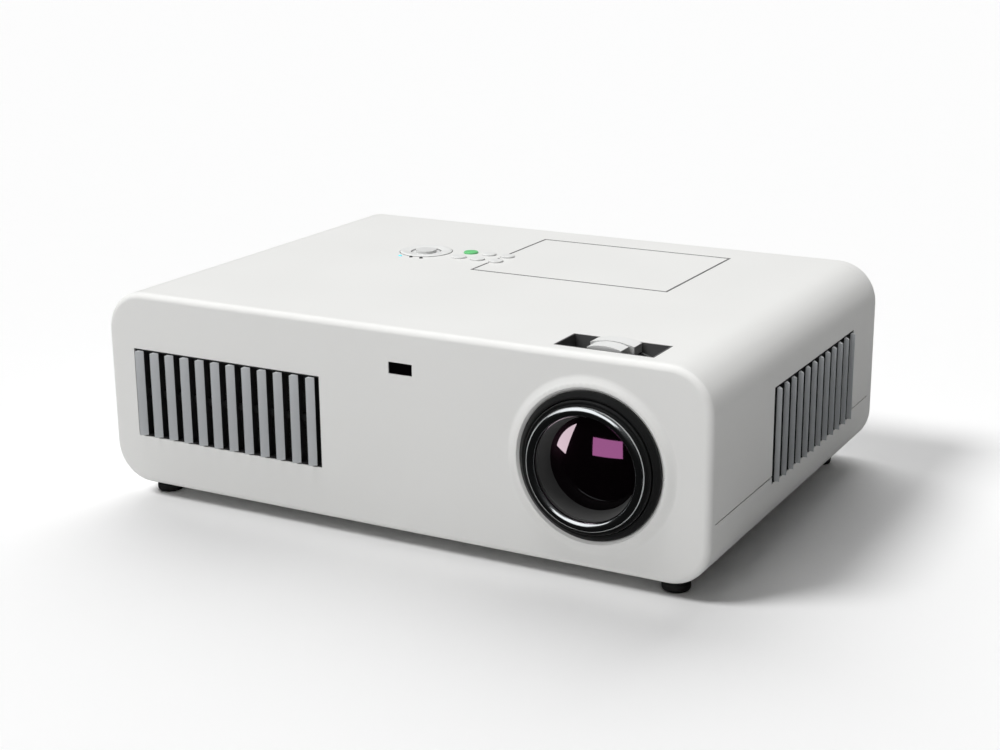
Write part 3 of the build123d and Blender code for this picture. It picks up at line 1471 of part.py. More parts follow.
def power_inlet():
    """Mains inlet: a keyed cavity with three blades."""
    w = inlet_w
    h = inlet_h
    body = block(inlet_x - w / 2, inlet_x + w / 2, rear_y - inlet_d, rear_y,
                 inlet_z - h / 2, inlet_z + h / 2)
    f = inlet_flange - 0.1
    body += block(inlet_x - w / 2 - f, inlet_x + w / 2 + f, rear_y - inlet_plate_t, rear_y,
                  inlet_z - h / 2 - f, inlet_z + h / 2 + f)
    side = w / 2 - inlet_wall
    rise = h / 2 - inlet_wall - 0.2
    key = 4.0
    mouth = make_face(Polyline((-side, rise - key), (key - side, rise), (side - key, rise),
                               (side, rise - key), (side, -rise), (-side, -rise), close=True))
    cavity_y = rear_y - inlet_d + 2 * inlet_wall + inlet_flange
    body -= front_prism(Pos(inlet_x, inlet_z) * mouth, cavity_y, rear_y + 1)
    for x, z in ((-blade_pitch, -blade_rise), (0, blade_rise), (blade_pitch, -blade_rise)):
        body += block(inlet_x + x - 1, inlet_x + x + 1, cavity_y - 1, rear_y - inlet_flange * 2,
                      inlet_z + z - 2, inlet_z + z + 2)
    return body


def speaker():
    """Round speaker against the rear panel: basket, cone recess and magnet."""
    y = rear_y - wall
    body = rod_y(speaker_x, lens_z, y - speaker_t * 0.25, y, speaker_r)
    body += rod_y(speaker_x, lens_z, y - speaker_t * 0.7, y - speaker_t * 0.2, speaker_r * 0.7)
    body += rod_y(speaker_x, lens_z, y - speaker_t, y - speaker_t * 0.6, speaker_r * 0.5)
    return body - rod_y(speaker_x, lens_z, y - speaker_t * 0.15, y + 1, speaker_r * 0.9)


front_row = (front_plane, grille_x0, grille_z0)
side_row = (side_plane, side_grille_y0, side_grille_z0)
save("front_cover", front_cover())
save("upper_case", upper_case())
save("lower_case", lower_case())
save("rear_cover", rear_cover())
save("front_slats", *wedge_slats(*front_row, grille_h, slat_pitch, grille_margin))
save("side_slats", *wedge_slats(*side_row, side_grille_h, side_slat_pitch, side_grille_margin))
save("front_carrier", slat_carrier(*front_row, grille_w, grille_h, slat_pitch, grille_margin))
side_frame = slat_carrier(*side_row, side_grille_w, side_grille_h, side_slat_pitch, side_grille_margin)
save("side_carrier", exhaust_guard() + side_frame)
save("dust_filter", dust_filter())
save("ir_window", ir_window())
save("lens_bezel", lens_bezel())
save("lens_barrel", lens_barrel())
save("focus_barrel", focus_barrel())
save("trim_ring", trim_ring())
save("lens_hood", lens_hood())
front_lens_y = (hood_end_y, hood_end_y + front_lens_t)
save("front_lens", lens_of(front_barrel_bore - 0.1, hood_r - 0.3, *front_lens_y, glass_sag, glass_sag))
focus_lever = (focus_lever_w, focus_lever_proud)
zoom_lever = (zoom_lever_w, zoom_lever_proud)
save("focus_ring", lever_ring(focus_y0, focus_y1, *focus_lever, front_barrel_bore + pin_end_gap))
save("zoom_ring", lever_ring(zoom_y0, zoom_y1, *zoom_lever, zoom_barrel_bore + pin_end_gap))
save("zoom_barrel", zoom_barrel())
zoom_lens_y = (zoom_barrel_end - 2 - zoom_lens_t, zoom_barrel_end - 2)
save("zoom_lens", lens_of(zoom_barrel_bore - 0.05, lens_dome_r, *zoom_lens_y, dome_sag, back_sag))
save("rear_lens", lens_of(rear_lens_r, lens_dome_r, flange_y, flange_y + flange_t - 1, dome_sag, back_sag))
save("slot_bezel", slot_bezel())
button_names = ("menu", "source", "keystone", "power", "auto", "blank")
for name, (x, y) in zip(button_names, button_centres()):
    save(name + "_button", push_button(x, y))
save("navigation_ring", navigation_ring())
save("navigation_gimbal", navigation_gimbal())
save("enter_button", enter_button())
save("power_light", status_light(light_xs[0]))
save("warning_lights", status_light(light_xs[1]), status_light(light_xs[2]))
save("control_board", control_board())
save("lamp_cover", lamp_cover())
save("left_foot", foot_disc(-foot_x, front_foot_y))
save("right_foot", foot_disc(foot_x, front_foot_y))
save("left_foot_stem", foot_stem(-foot_x, front_foot_y))
save("right_foot_stem", foot_stem(foot_x, front_foot_y))
save("rear_feet", rear_foot(-foot_x, rear_foot_y), rear_foot(foot_x, rear_foot_y))
save("threaded_inserts", *threaded_inserts())
save("case_screws", *case_screws())
save("intake_fan_frame", intake_plane * fan_frame(intake_size, intake_t))
save("intake_fan_rotor", intake_plane * fan_rotor(intake_size, intake_t))
save("exhaust_fan_frame", exhaust_plane * fan_frame(exhaust_size, exhaust_t))
save("exhaust_fan_rotor", exhaust_plane * fan_rotor(exhaust_size, exhaust_t))
save("optical_base", optical_base())
mirror_plate = (mirror_l, mirror_t, mirror_h)
panel_plate = (prism_size - 2, panel_t, prism_size + panel_over)
relay_plate = (relay_l, relay_t, relay_l + relay_over)
save("dichroic_mirrors", *[upright_plate(*place, *mirror_plate) for place in dichroic_places()])
save("folding_mirrors", *[upright_plate(*place, *mirror_plate) for place in fold_places()])
save("picture_panels", *[upright_plate(*place, *panel_plate) for place in panel_places()])
save("relay_lenses", *[upright_plate(*place, *relay_plate) for place in relay_places()])
save("prism_block", Pos(lens_x, prism_y, lens_z) * Box(prism_size, prism_size, prism_size))
save("lamp_housing", lamp_housing())
save("lamp_reflector", lamp_reflector())
save("lamp_bulb", lamp_bulb())
save("power_boards", power_board(), ballast_board())
save("main_board", main_board())
save("signal_sockets", *computer_sockets(), *picture_sound_sockets())
save("power_inlet", power_inlet())
save("speaker", speaker())
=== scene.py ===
"""Data projector: finishes, fine pieces, floor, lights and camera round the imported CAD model."""

import json
import math

import bmesh
import bpy
from bpy.props import FloatProperty, FloatVectorProperty, IntProperty, PointerProperty
from mathutils import Matrix, Vector

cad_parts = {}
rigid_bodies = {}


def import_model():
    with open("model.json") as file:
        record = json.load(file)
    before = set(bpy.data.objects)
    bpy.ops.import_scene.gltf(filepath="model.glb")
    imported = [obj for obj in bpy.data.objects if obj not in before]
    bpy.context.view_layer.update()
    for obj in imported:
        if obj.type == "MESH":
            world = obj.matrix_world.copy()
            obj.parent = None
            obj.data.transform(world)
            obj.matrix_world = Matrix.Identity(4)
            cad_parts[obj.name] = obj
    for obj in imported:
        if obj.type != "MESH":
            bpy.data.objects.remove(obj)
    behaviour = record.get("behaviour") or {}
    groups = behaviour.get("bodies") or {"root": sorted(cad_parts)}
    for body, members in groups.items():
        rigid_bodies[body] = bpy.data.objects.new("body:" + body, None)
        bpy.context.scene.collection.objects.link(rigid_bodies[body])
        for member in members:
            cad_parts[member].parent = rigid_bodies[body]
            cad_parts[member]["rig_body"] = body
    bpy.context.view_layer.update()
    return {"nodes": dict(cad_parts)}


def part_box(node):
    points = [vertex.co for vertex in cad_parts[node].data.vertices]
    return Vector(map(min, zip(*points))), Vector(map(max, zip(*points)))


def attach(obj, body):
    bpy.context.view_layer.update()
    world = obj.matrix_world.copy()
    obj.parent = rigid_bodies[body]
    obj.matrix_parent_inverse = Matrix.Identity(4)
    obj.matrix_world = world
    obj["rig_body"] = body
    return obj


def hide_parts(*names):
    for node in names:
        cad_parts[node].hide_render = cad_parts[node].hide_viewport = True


bl_info = {
    "name": "Data projector",
    "version": (1, 0, 0),
    "blender": (4, 5, 0),
    "location": "View3D > Sidebar > Projector",
    "description": "Dresses the projector's CAD model and sets its stage",
    "category": "Object",
}

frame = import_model()
MM = 0.001

# Places that the CAD model gives: the middle of the lens's trim, the front face and the top
LENS = (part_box("trim_ring")[0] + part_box("trim_ring")[1]) / 2
FACE_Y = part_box("front_slats")[1].y
TOP_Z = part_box("lamp_cover")[1].z

BUTTONS = ("power_button", "source_button", "menu_button", "keystone_button", "auto_button", "blank_button")

# Shading: crease angles in degrees, and the gap that a CAD mesh's seams are welded over
CAD_CREASE = 38.0
TURNED_CREASE = 35.0
WEDGE_CREASE = 40.0
GLASS_CREASE = 8.0
WELD_GAP = 0.000002

# Steps along the trim bead and along the glass's dome, and the most of a side that one rounded corner takes
BEAD_STEPS = 16
DOME_STEPS = 24
CORNER_SHARE = 0.45

# Lens outlines, in millimetres: each point's radius, and how far it stands out of the front face; and the
# rounding of each outline's corners
BEZEL_OUTLINE = [(28.75, -5), (31.0, -5), (31.0, 0), (31.7, 0), (31.7, 1.6), (29.5, 3.3), (28.75, 3.2)]
BEZEL_CORNER = 0.35
BARREL_OUTLINE = [(25.3, 5.3), (26.2, 5.3), (27.1, 4.1), (27.5, 4.5), (28.0, 4.5), (28.4, 3.9),
                  (28.4, -18.3), (25.3, -18.3)]
BARREL_CORNER = 0.3
HOOD_OUTLINE = [(22.7, 5.2), (25.2, 5.2), (25.2, -3.5), (19.9, -3.5), (22.1, 3.6), (22.7, 3.6)]
HOOD_CORNER = 0.2

# Trim bead, in millimetres: radius of its crest, half its width, where it starts, how far it rises and the
# rounding of its two edges
TRIM_CREST_R = 24.3
TRIM_HALF_W = 2.1
TRIM_BASE = 5.3
TRIM_RISE = 2.3
TRIM_CORNER = 0.05

# Button cap with its flange and stem, in millimetres: each point's radius, and how far it lies below the top;
# and the rounding of its corners, in metres
CAP_CORNER = 0.0004
CAP_OUTLINE = [(0, 6.2), (1.6, 6.2), (1.6, 5.6), (4.6, 5.6), (4.6, 4.6), (3.55, 4.6), (3.55, 0), (0, -0.01)]

# Thickness of the grey strip of painted shade over the lamp cover's gap, how deep the sockets' shells show,
# and the bars that cut a screw's cross
GAP_SHADE_THICK = 0.00008
SHELL_DEPTH = 0.0045
CROSS_BAR = (0.0034, 0.0008, 0.0022)

# Colours that aren't settings
# Grey of the strip over the lamp cover's gap: painted shade that stands in for the gap's shadow
GAP_SHADE_GREY = (0.12, 0.12, 0.12)
SLOT_BLACK = (0.10, 0.10, 0.101)
WINDOW_DARK = (0.002, 0.0015, 0.002)
LIGHT_DARK = (0.01, 0.01, 0.012)
OPTICAL_GLASS = (0.75, 0.78, 0.82)
LAMP_GLASS = (0.9, 0.92, 0.95)
MIRROR_COAT = (0.85, 0.86, 0.9)
CAST_METAL = (0.55, 0.55, 0.56)
SCREW_STEEL = (0.42, 0.43, 0.44)
STEM_STEEL = (0.5, 0.51, 0.52)
INSERT_BRASS = (0.72, 0.52, 0.24)
SHELL_METAL = (0.50, 0.51, 0.52)
SOCKET_YELLOW = (0.72, 0.50, 0.03)

# Two lights that only the front glass mirrors: where off the lens axis their images lie, the images' sizes,
# the lights' distance from the glass, their colours and radiances
WINDOW_LIGHT = {"spot": (0.0067, 0.0078), "size": (0.0130, 0.0073), "gap": 0.12,
                "colour": (1.0, 0.30, 0.78), "radiance": 7.5}
CRESCENT_LIGHT = {"spot": (-0.0123, 0.0092), "size": (0.0100, 0.0145), "gap": 0.003,
                  "colour": (1.0, 0.78, 0.88), "radiance": 15.0}

# Corners of the crescent's image off the lens axis: its tip, foot and heel
CRESCENT = ((-0.0078, 0.0160), (-0.0125, 0.0023), (-0.0168, 0.0048))

# Light panel that only the trim bead mirrors: its direction off the lens, distance, size and radiance
PANEL_DIRECTION = (-0.40, -0.42, 0.81)
PANEL_GAP = 0.35
PANEL_SIZE = (0.7, 0.34)
PANEL_RADIANCE = 1.1

# Suns: the angle that each one spreads over, and the compass turn and height that it shines from, in degrees
TOP_SUN = (30, 185, 80)
FRONT_SUN = (30, 250, 26)
FLOOR_LEFT_SUN = (20, 222, 51)
FLOOR_REAR_SUN = (60, 120, 42)

# Half the floor's side, and how far its white varies
FLOOR_REACH = 12.0
FLOOR_FLECK = 0.004

# Grey of the sky, from the horizon to overhead
SKY_STOPS = [(place, (grey, grey, grey, 1.0)) for place, grey in (
    (0.0, 0.02), (0.3, 0.05), (0.6, 0.13), (0.95, 0.46))]


def middle(node):
    """Middle of a CAD node's box."""
    low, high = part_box(node)
    return (low + high) / 2


# Sizes and colours that a user may change


def tint(name, description, default):
    """A colour setting."""
    return FloatVectorProperty(
        name=name, description=description, subtype="COLOR", min=0, max=1, default=default)


def length(name, description, default):
    """A length setting, in metres."""
    return FloatProperty(
        name=name, description=description, subtype="DISTANCE", unit="LENGTH", default=default)


def angle(name, description, degrees):
    """An angle setting, given in degrees."""
    return FloatProperty(
        name=name, description=description, subtype="ANGLE", default=math.radians(degrees))


def number(name, description, default):
    """A plain number setting, from zero up."""
    return FloatProperty(name=name, description=description, default=default, min=0)


class HousingSettings(bpy.types.PropertyGroup):
    """White moulded housing."""
    colour: tint("Plastic", "Colour of the white mouldings", (0.80, 0.80, 0.785))
    dark: tint("Black plastic", "Colour of the black mouldings", (0.012, 0.012, 0.013))
    grain: length("Grain depth", "Depth of the fine mould grain", 0.000012)
    edge: length("Edge softness", "Radius that catches light on moulded edges", 0.0003)
    # The lamp cover's 'seal' is a grey strip of painted shade over its gap: how far it lies over the cover
    # and past it
    gap_shade_in: length("Seal inside", "How far the lamp cover's seal lies over the cover", 0.0004)
    gap_shade_out: length("Seal outside", "How far the seal reaches past the cover", 0.0006)


class GrilleSettings(bpy.types.PropertyGroup):
    """Wedge slats of the two grilles."""
    colour: tint("Slat paint", "Colour of the silver slats", (0.62, 0.64, 0.66))
    count: IntProperty(name="Slats", description="Number of slats in each grille", default=12, min=2)
    base: length("Slat base", "Width of a slat where it meets the face", 0.0032)
    edge: length("Edge softness", "Rounding of a slat's edges", 0.00006)
    foot: length("Foot gap", "Height of a slat's foot above its carrier's edge", 0.0006)


class LensSettings(bpy.types.PropertyGroup):
    """Lens rings and front glass."""
    black: tint("Lens black", "Colour of the bezel and the barrels", (0.0075, 0.0078, 0.008))
    trim: tint("Trim", "Colour of the bright trim ring", (0.74, 0.77, 0.79))
    hood: tint("Hood", "Colour of the conical hood", (0.09, 0.09, 0.09))
    glass: tint("Glass", "Colour of the coated glass in depth", (0.0015, 0.0008, 0.0012))
    glass_r: length("Glass radius", "Radius of the domed face", 0.0196)
    glass_depth: length("Glass depth", "How far the glass stands behind the front face", 0.0035)
    glass_sag: length("Glass sag", "Height of the dome", 0.0023)
    steps: IntProperty(name="Steps", description="Steps round a turned piece", default=160, min=24)


class ControlSettings(bpy.types.PropertyGroup):
    """Buttons and lights on top."""
    cap: tint("Caps", "Colour of the white caps", (0.78, 0.785, 0.775))
    power: tint("Power cap", "Colour of the green cap", (0.17, 0.62, 0.24))
    lit: tint("Lit light", "Colour of the lit indicator", (0.08, 0.66, 0.80))
    glow: number("Glow", "Strength of the lit indicator", 0.5)


class StageSettings(bpy.types.PropertyGroup):
    """Camera, floor and lights."""
    camera_place: FloatVectorProperty(
        name="Camera", description="Place of the camera", subtype="TRANSLATION", unit="LENGTH",
        default=(0.38857, -0.70992, 0.28726))
    azimuth: angle("Azimuth", "Direction that the camera looks from", 28.75)
    elevation: angle("Elevation", "Height of the view above the horizon", 16.30)
    roll: angle("Roll", "Turn about the view", -0.466)
    focal: number("Focal length", "Focal length in millimetres", 63.57)
    floor: number("Floor", "Brightness of the floor's white", 0.97)
    sky: number("Sky light", "Strength of the light from overhead", 0.3)
    top: number("Top light", "The object's light from above", 3.4)
    front: number("Front light", "The object's light from the front", 1.05)
    floor_left: number("Floor left light", "Light that casts the shadow at the right", 1.9)
    floor_rear: number("Floor rear light", "Light that casts the soft shadow in front", 2.2)
    mirrored: number("Mirrored lights", "Share of the lights that glass and trim mirror", 1.0)


# Shader maths


class Socket:
    """A node's output that ordinary arithmetic can be written on."""

    def __init__(self, finish, link):
        self.finish = finish
        self.link = link

    def math(self, operation, first, second):
        """Output of a maths node on two values."""
        return self.finish.node("ShaderNodeMath", {"operation": operation}, {0: first, 1: second})

    def __add__(self, other):
        return self.math("ADD", self, other)

    def __radd__(self, other):
        return self.math("ADD", other, self)

    def __sub__(self, other):
        return self.math("SUBTRACT", self, other)

    def __mul__(self, other):
        return self.math("MULTIPLY", self, other)

    def __gt__(self, other):
        return self.math("GREATER_THAN", self, other)

    def __lt__(self, other):
        return self.math("LESS_THAN", self, other)


class Finish:
    """Shading of a new material, or of a light or world that is given, built node by node."""

    def __init__(self, name, owner=None):
        self.owner = owner or bpy.data.materials.new(name)
        self.owner.use_nodes = True
        self.tree = self.owner.node_tree
        self.tree.nodes.clear()

    def node(self, kind, settings=None, sockets=None, output=0):
        """Add a node with its settings, then its values and links; give back one output."""
        made = self.tree.nodes.new(kind)
        for key, value in (settings or {}).items():
            if key == "stops":
                ramp = made.color_ramp
                while len(ramp.elements) < len(value):
                    ramp.elements.new(0.5)
                for element, (place, colour) in zip(ramp.elements, value):
                    element.position = place
                    element.color = colour
            else:
                setattr(made, key, value)
        for key, value in (sockets or {}).items():
            socket = made.inputs[key]
            if isinstance(value, Socket):
                self.tree.links.new(value.link, socket)
            elif socket.type == "RGBA" and len(value) == 3:
                socket.default_value = (*value, 1.0)
            else:
                socket.default_value = value
        return Socket(self, made.outputs[output])

    def place(self):
        """The piece's own coordinates, in metres."""
        return self.node("ShaderNodeTexCoord", output="Object")

    def apart(self, vector):
        """The three numbers of a vector."""
        parts = self.node("ShaderNodeSeparateXYZ", {}, {0: vector}).link.node.outputs
        return [Socket(self, part) for part in parts]

    def noise(self, scale, detail=3.0, rough=0.55, stretch=None):
        """Noise between 0 and 1, at a scale per metre."""
        where = self.place()
        if stretch:
            where = self.node("ShaderNodeMapping", {}, {"Vector": where, "Scale": stretch})
        return self.node("ShaderNodeTexNoise", {}, {
            "Vector": where, "Scale": scale, "Detail": detail, "Roughness": rough})

    def mix(self, factor, first, second):
        """Blend two colours."""
        blend = {"Factor": factor, 6: first, 7: second}
        return self.node("ShaderNodeMix", {"data_type": "RGBA"}, blend, output=2)

    def bump(self, height, distance, edge=0.0):
        """Normal from a height, over a softened edge."""
        sockets = {"Height": height, "Distance": distance}
        if edge:
            sockets["Normal"] = self.node("ShaderNodeBevel", {"samples": 4}, {"Radius": edge})
        return self.node("ShaderNodeBump", {}, sockets)

    def close(self, kind, shader, **sockets):
        """End the tree in an output of one kind, with its shader; give back the shading's owner."""
        values = {key.replace("_", " "): value for key, value in sockets.items()}
        out = self.tree.nodes.new(kind)
        self.tree.links.new(self.node(shader, {}, values).link, out.inputs["Surface"])
        return self.owner

    def surface(self, **sockets):
        """Close a material with the one shader that every surface has."""
        return self.close("ShaderNodeOutputMaterial", "ShaderNodeBsdfPrincipled", **sockets)


def lighter(colour, amount):
    """A colour moved towards white, or towards black for a negative amount."""
    end = 1.0 if amount > 0 else 0.0
    return tuple(c + (end - c) * abs(amount) for c in colour)


def moulded(name, colour, roughness, grain, edge):
    """Moulded plastic: fine grain, faint clouding, softened edges."""
    f = Finish(name)
    mottle = 0.03
    clouds = f.noise(14.0, 2.0)
    grit = f.noise(1900.0, 2.0, 0.6)
    return f.surface(
        Base_Color=f.mix(clouds, lighter(colour, -mottle), lighter(colour, mottle)),
        Roughness=roughness + (grit - 0.5) * 0.12 + (clouds - 0.5) * 0.06,
        Normal=f.bump(grit, grain, edge))


def silver_paint(name, colour):
    """Silver paint with fine flakes."""
    f = Finish(name)
    flakes = f.noise(5200.0, 1.0)
    drift = f.noise(60.0, 2.0)
    return f.surface(
        Base_Color=f.mix(flakes, lighter(colour, -0.12), lighter(colour, 0.12)),
        Metallic=0.1 + (flakes - 0.5) * 0.1,
        Roughness=0.40 + (drift - 0.5) * 0.1,
        Normal=f.bump(flakes, 0.000006, 0.0002))


def lathe_rings(f, count_per_metre):
    """Fine rings about the lens axis, between 0 and 1."""
    centred = f.node("ShaderNodeMapping", {}, {"Vector": f.place(), "Location": (-LENS.x, 0.0, -LENS.z)})
    across, _, up = f.apart(centred)
    radius = across.math("SQRT", across * across + up * up, 0.0)
    along = f.node("ShaderNodeCombineXYZ", {}, {0: radius})
    return f.node("ShaderNodeTexNoise", {}, {"Vector": along, "Scale": count_per_metre, "Detail": 2.0})


def turned_plastic(name, colour, roughness, shine=0.35):
    """Dark plastic with fine turning rings."""
    f = Finish(name)
    rings = lathe_rings(f, 3000.0)
    grit = f.noise(1500.0, 2.0)
    return f.surface(
        Base_Color=f.mix(rings, lighter(colour, -0.1), lighter(colour, 0.01)),
        Specular_IOR_Level=shine,
        Roughness=roughness + (grit - 0.5) * 0.1,
        Normal=f.bump(rings + grit * 0.5, 0.00001, 0.00015))


def bright_metal(name, colour, roughness):
    """Plated trim with faint polishing rings and a little haze."""
    f = Finish(name)
    rings = lathe_rings(f, 6000.0)
    haze = f.noise(90.0, 3.0)
    return f.surface(
        Base_Color=f.mix(haze, lighter(colour, -0.06), lighter(colour, 0.1)),
        Metallic=1.0,
        Roughness=roughness + (haze - 0.5) * 0.08,
        Normal=f.bump(rings, 0.000004))


def coated_glass(name, colour, gloss):
    """Coated glass that looks black in depth, with a clear gloss of a given strength."""
    f = Finish(name)
    film = f.noise(70.0, 2.0)
    return f.surface(
        Base_Color=f.mix(film, lighter(colour, -0.4), colour),
        Roughness=0.03 + film * 0.01,
        IOR=1.5,
        Specular_IOR_Level=gloss)


def plain_glass(name, colour):
    """Optical glass inside the housing."""
    f = Finish(name)
    dust = f.noise(300.0, 2.0)
    return f.surface(Base_Color=colour, Roughness=0.03 + dust * 0.04, IOR=1.5, Transmission_Weight=0.9)


def mirror_coat(name, colour):
    """Thin mirror coating."""
    f = Finish(name)
    haze = f.noise(120.0, 2.0)
    return f.surface(Base_Color=colour, Metallic=1.0, Roughness=0.05 + haze * 0.05)


def rubber(name):
    """Matt black rubber with a worn, dusty bloom."""
    f = Finish(name)
    bloom = f.noise(160.0, 4.0)
    grit = f.noise(2600.0, 2.0)
    return f.surface(
        Base_Color=f.mix(bloom, (0.006, 0.006, 0.006), (0.022, 0.022, 0.022)),
        Roughness=0.72 + (bloom - 0.5) * 0.2,
        Normal=f.bump(grit, 0.00002, 0.0003))


def foam(name):
    """Open black filter foam."""
    f = Finish(name)
    where = {"Vector": f.place(), "Scale": 900.0}
    cells = f.node("ShaderNodeTexVoronoi", {"feature": "DISTANCE_TO_EDGE"}, where)
    return f.surface(
        Base_Color=f.mix(cells * 2.0, (0.03, 0.03, 0.03), (0.002, 0.002, 0.002)),
        Roughness=0.95,
        Normal=f.bump(cells, 0.0003))


def machined(name, colour, roughness=0.32):
    """Cast or plated metal with streaks and fine grain."""
    f = Finish(name)
    streaks = f.noise(240.0, 3.0, 0.6, (1.0, 1.0, 0.1))
    grit = f.noise(2200.0, 2.0)
    return f.surface(
        Base_Color=f.mix(streaks, lighter(colour, -0.15), lighter(colour, 0.08)),
        Metallic=1.0,
        Roughness=roughness + (streaks - 0.5) * 0.2,
        Normal=f.bump(grit, 0.000008, 0.0002))


def circuit_board(name):
    """Lacquered board with copper tracks under the lacquer."""
    f = Finish(name)
    tracks = f.node("ShaderNodeTexBrick", {}, {
        "Vector": f.place(), "Scale": 120.0, "Mortar Size": 0.08,
        "Color1": (0.006, 0.06, 0.02), "Color2": (0.004, 0.045, 0.016), "Mortar": (0.02, 0.13, 0.05)})
    solder = f.noise(700.0, 1.0)
    return f.surface(Base_Color=tracks, Roughness=0.3 + solder * 0.15, Normal=f.bump(solder, 0.00002))


def indicator(name, colour, glow):
    """Tinted light pipe, lit from behind when it glows."""
    f = Finish(name)
    swirl = f.noise(1200.0, 2.0)
    return f.surface(
        Base_Color=f.mix(swirl, lighter(colour, -0.15), lighter(colour, 0.1)),
        Roughness=0.12 + swirl * 0.06,
        Emission_Color=f.mix(swirl, colour, lighter(colour, 0.3)),
        Emission_Strength=glow)


# Meshes


def new_object(name, mesh):
    """An object at the origin for a mesh that is already in place."""
    obj = bpy.data.objects.new(name, mesh)
    bpy.context.scene.collection.objects.link(obj)
    return obj


def dress(obj, material, body, slot, *nodes):
    """Give a finished piece its material and its body, and hide the CAD nodes that it stands for; the slot is
    not used.
    """
    if material:
        obj.data.materials.clear()
        obj.data.materials.append(material)
    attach(obj, body)
    if nodes:
        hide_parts(*nodes)


def tall(node):
    """Height of a CAD node."""
    low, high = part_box(node)
    return high.z - low.z


def body_of(node):
    """Name of the body that carries a CAD node."""
    return frame["nodes"][node]["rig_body"]


def soft_corners(points, radius, steps=4):
    """Round the corners of a closed outline."""
    soft = []
    count = len(points)
    for index, point in enumerate(points):
        here = Vector(point)
        before = Vector(points[index - 1]) - here
        after = Vector(points[(index + 1) % count]) - here
        reach = min(radius, before.length * CORNER_SHARE, after.length * CORNER_SHARE)
        start = here + before.normalized() * reach
        end = here + after.normalized() * reach
        for step in range(steps + 1):
            t = step / steps
            soft.append(start * (1 - t) ** 2 + here * 2 * t * (1 - t) + end * t ** 2)
    return soft


def mesh_data(name, work):
    """Mesh data from a bmesh, which is freed."""
    data = bpy.data.meshes.new(name)
    work.to_mesh(data)
    work.free()
    return data


def smooth(data, degrees):
    """Shade a mesh smooth, with edges sharper than an angle kept crisp."""
    data.shade_smooth()
    data.set_sharp_from_angle(angle=math.radians(degrees))


def lathe(name, outline, centre, axis, steps, crease=TURNED_CREASE):
    """Turn a closed outline of (radius, height) about an axis; points on the axis close as poles."""
    work = bmesh.new()
    turn = Vector((0, 0, 1)).rotation_difference(Vector(axis)).to_matrix()
    rings = []
    for radius, height in outline:
        ring = []
        for step in range(steps if radius > 1e-7 else 1):
            angle = 2 * math.pi * step / steps
            local = Vector((radius * math.cos(angle), radius * math.sin(angle), height))
            ring.append(work.verts.new(Vector(centre) + turn @ local))
        rings.append(ring)
    for first, second in zip(rings, rings[1:] + rings[:1]):
        if len(first) == 1 and len(second) == 1:
            continue
        for step in range(steps):
            after = (step + 1) % steps
            corners = [ring[index % len(ring)] for ring, index in (
                (first, step), (first, after), (second, after), (second, step))]
            unique = list(dict.fromkeys(corners))
            if len(unique) > 2:
                work.faces.new(unique)
    bmesh.ops.recalc_face_normals(work, faces=work.faces)
    data = mesh_data(name, work)
    smooth(data, crease)
    return new_object(name, data)


def lens_turned(name, points, radius, steps):
    """Turned lens piece from (radius, how far it stands out of the face), in millimetres."""
    outline = [(r * MM, -p * MM) for r, p in soft_corners(points, radius)]
    centre = (LENS.x, FACE_Y, LENS.z)
    return lathe(name, outline, centre, (0, 1, 0), steps)


def solids(node):
    """Box of each separate solid of a CAD node."""
    work = bmesh.new()
    work.from_mesh(frame["nodes"][node].data)
    bmesh.ops.remove_doubles(work, verts=work.verts, dist=0.000001)
    seen = set()
    boxes = []
    for start in work.verts:
        if start in seen:
            continue
        seen.add(start)
        group = [start]
        for vertex in group:
            for edge in vertex.link_edges:
                other = edge.other_vert(vertex)
                if other not in seen:
                    seen.add(other)
                    group.append(other)
        boxes.append([Vector([pick(vertex.co[axis] for vertex in group) for axis in range(3)])
                      for pick in (min, max)])
    work.free()
    return boxes


def spots(node):
    """Middle of each solid's lower end."""
    return [((low.x + high.x) / 2, (low.y + high.y) / 2, low.z) for low, high in solids(node)]


# Geometry Nodes


class Geometry:
    """One geometry tree with named inputs."""

    def __init__(self, name, inputs):
        self.tree = bpy.data.node_groups.new(name, "GeometryNodeTree")
        self.tree.interface.new_socket("Geometry", in_out="INPUT", socket_type="NodeSocketGeometry")
        for label, kind in inputs:
            self.tree.interface.new_socket(label, in_out="INPUT", socket_type="NodeSocket" + kind)
        self.tree.interface.new_socket("Geometry", in_out="OUTPUT", socket_type="NodeSocketGeometry")
        self.source = self.tree.nodes.new("NodeGroupInput")
        self.sink = self.tree.nodes.new("NodeGroupOutput")

    def input(self, label):
        """The tree's input of this name."""
        return self.source.outputs[label]

    def node(self, kind, settings=None, sockets=None, output=0):
        """Add a node with its settings, then its values and links; give back one output."""
        made = self.tree.nodes.new(kind)
        for key, value in (settings or {}).items():
            setattr(made, key, value)
        for key, value in (sockets or {}).items():
            if isinstance(value, bpy.types.NodeSocket):
                self.tree.links.new(value, made.inputs[key])
            else:
                made.inputs[key].default_value = value
        return made.outputs[output]

    def finish(self, geometry):
        """End the tree in this geometry."""
        self.tree.links.new(geometry, self.sink.inputs["Geometry"])
        return self.tree

    def finish_copies(self, points, piece):
        """End the tree in real copies of a piece, one on each point, in the Material input."""
        row = self.node("GeometryNodeInstanceOnPoints", {}, {"Points": points, "Instance": piece})
        real = self.node("GeometryNodeRealizeInstances", {}, {"Geometry": row})
        self.finish(self.node("GeometryNodeSetMaterial", {}, {
            "Geometry": real, "Material": self.input("Material")}))

    def apply(self, name, start, values):
        """Run the tree on a start mesh with these inputs, and keep the result as a plain mesh."""
        obj = new_object(name + "_source", start)
        modifier = obj.modifiers.new("nodes", "NODES")
        modifier.node_group = self.tree
        set_inputs(modifier, values)
        graph = bpy.context.evaluated_depsgraph_get()
        plain = bpy.data.meshes.new_from_object(obj.evaluated_get(graph))
        obj.modifiers.remove(modifier)
        bpy.data.objects.remove(obj)
        plain.name = name
        return new_object(name, plain)


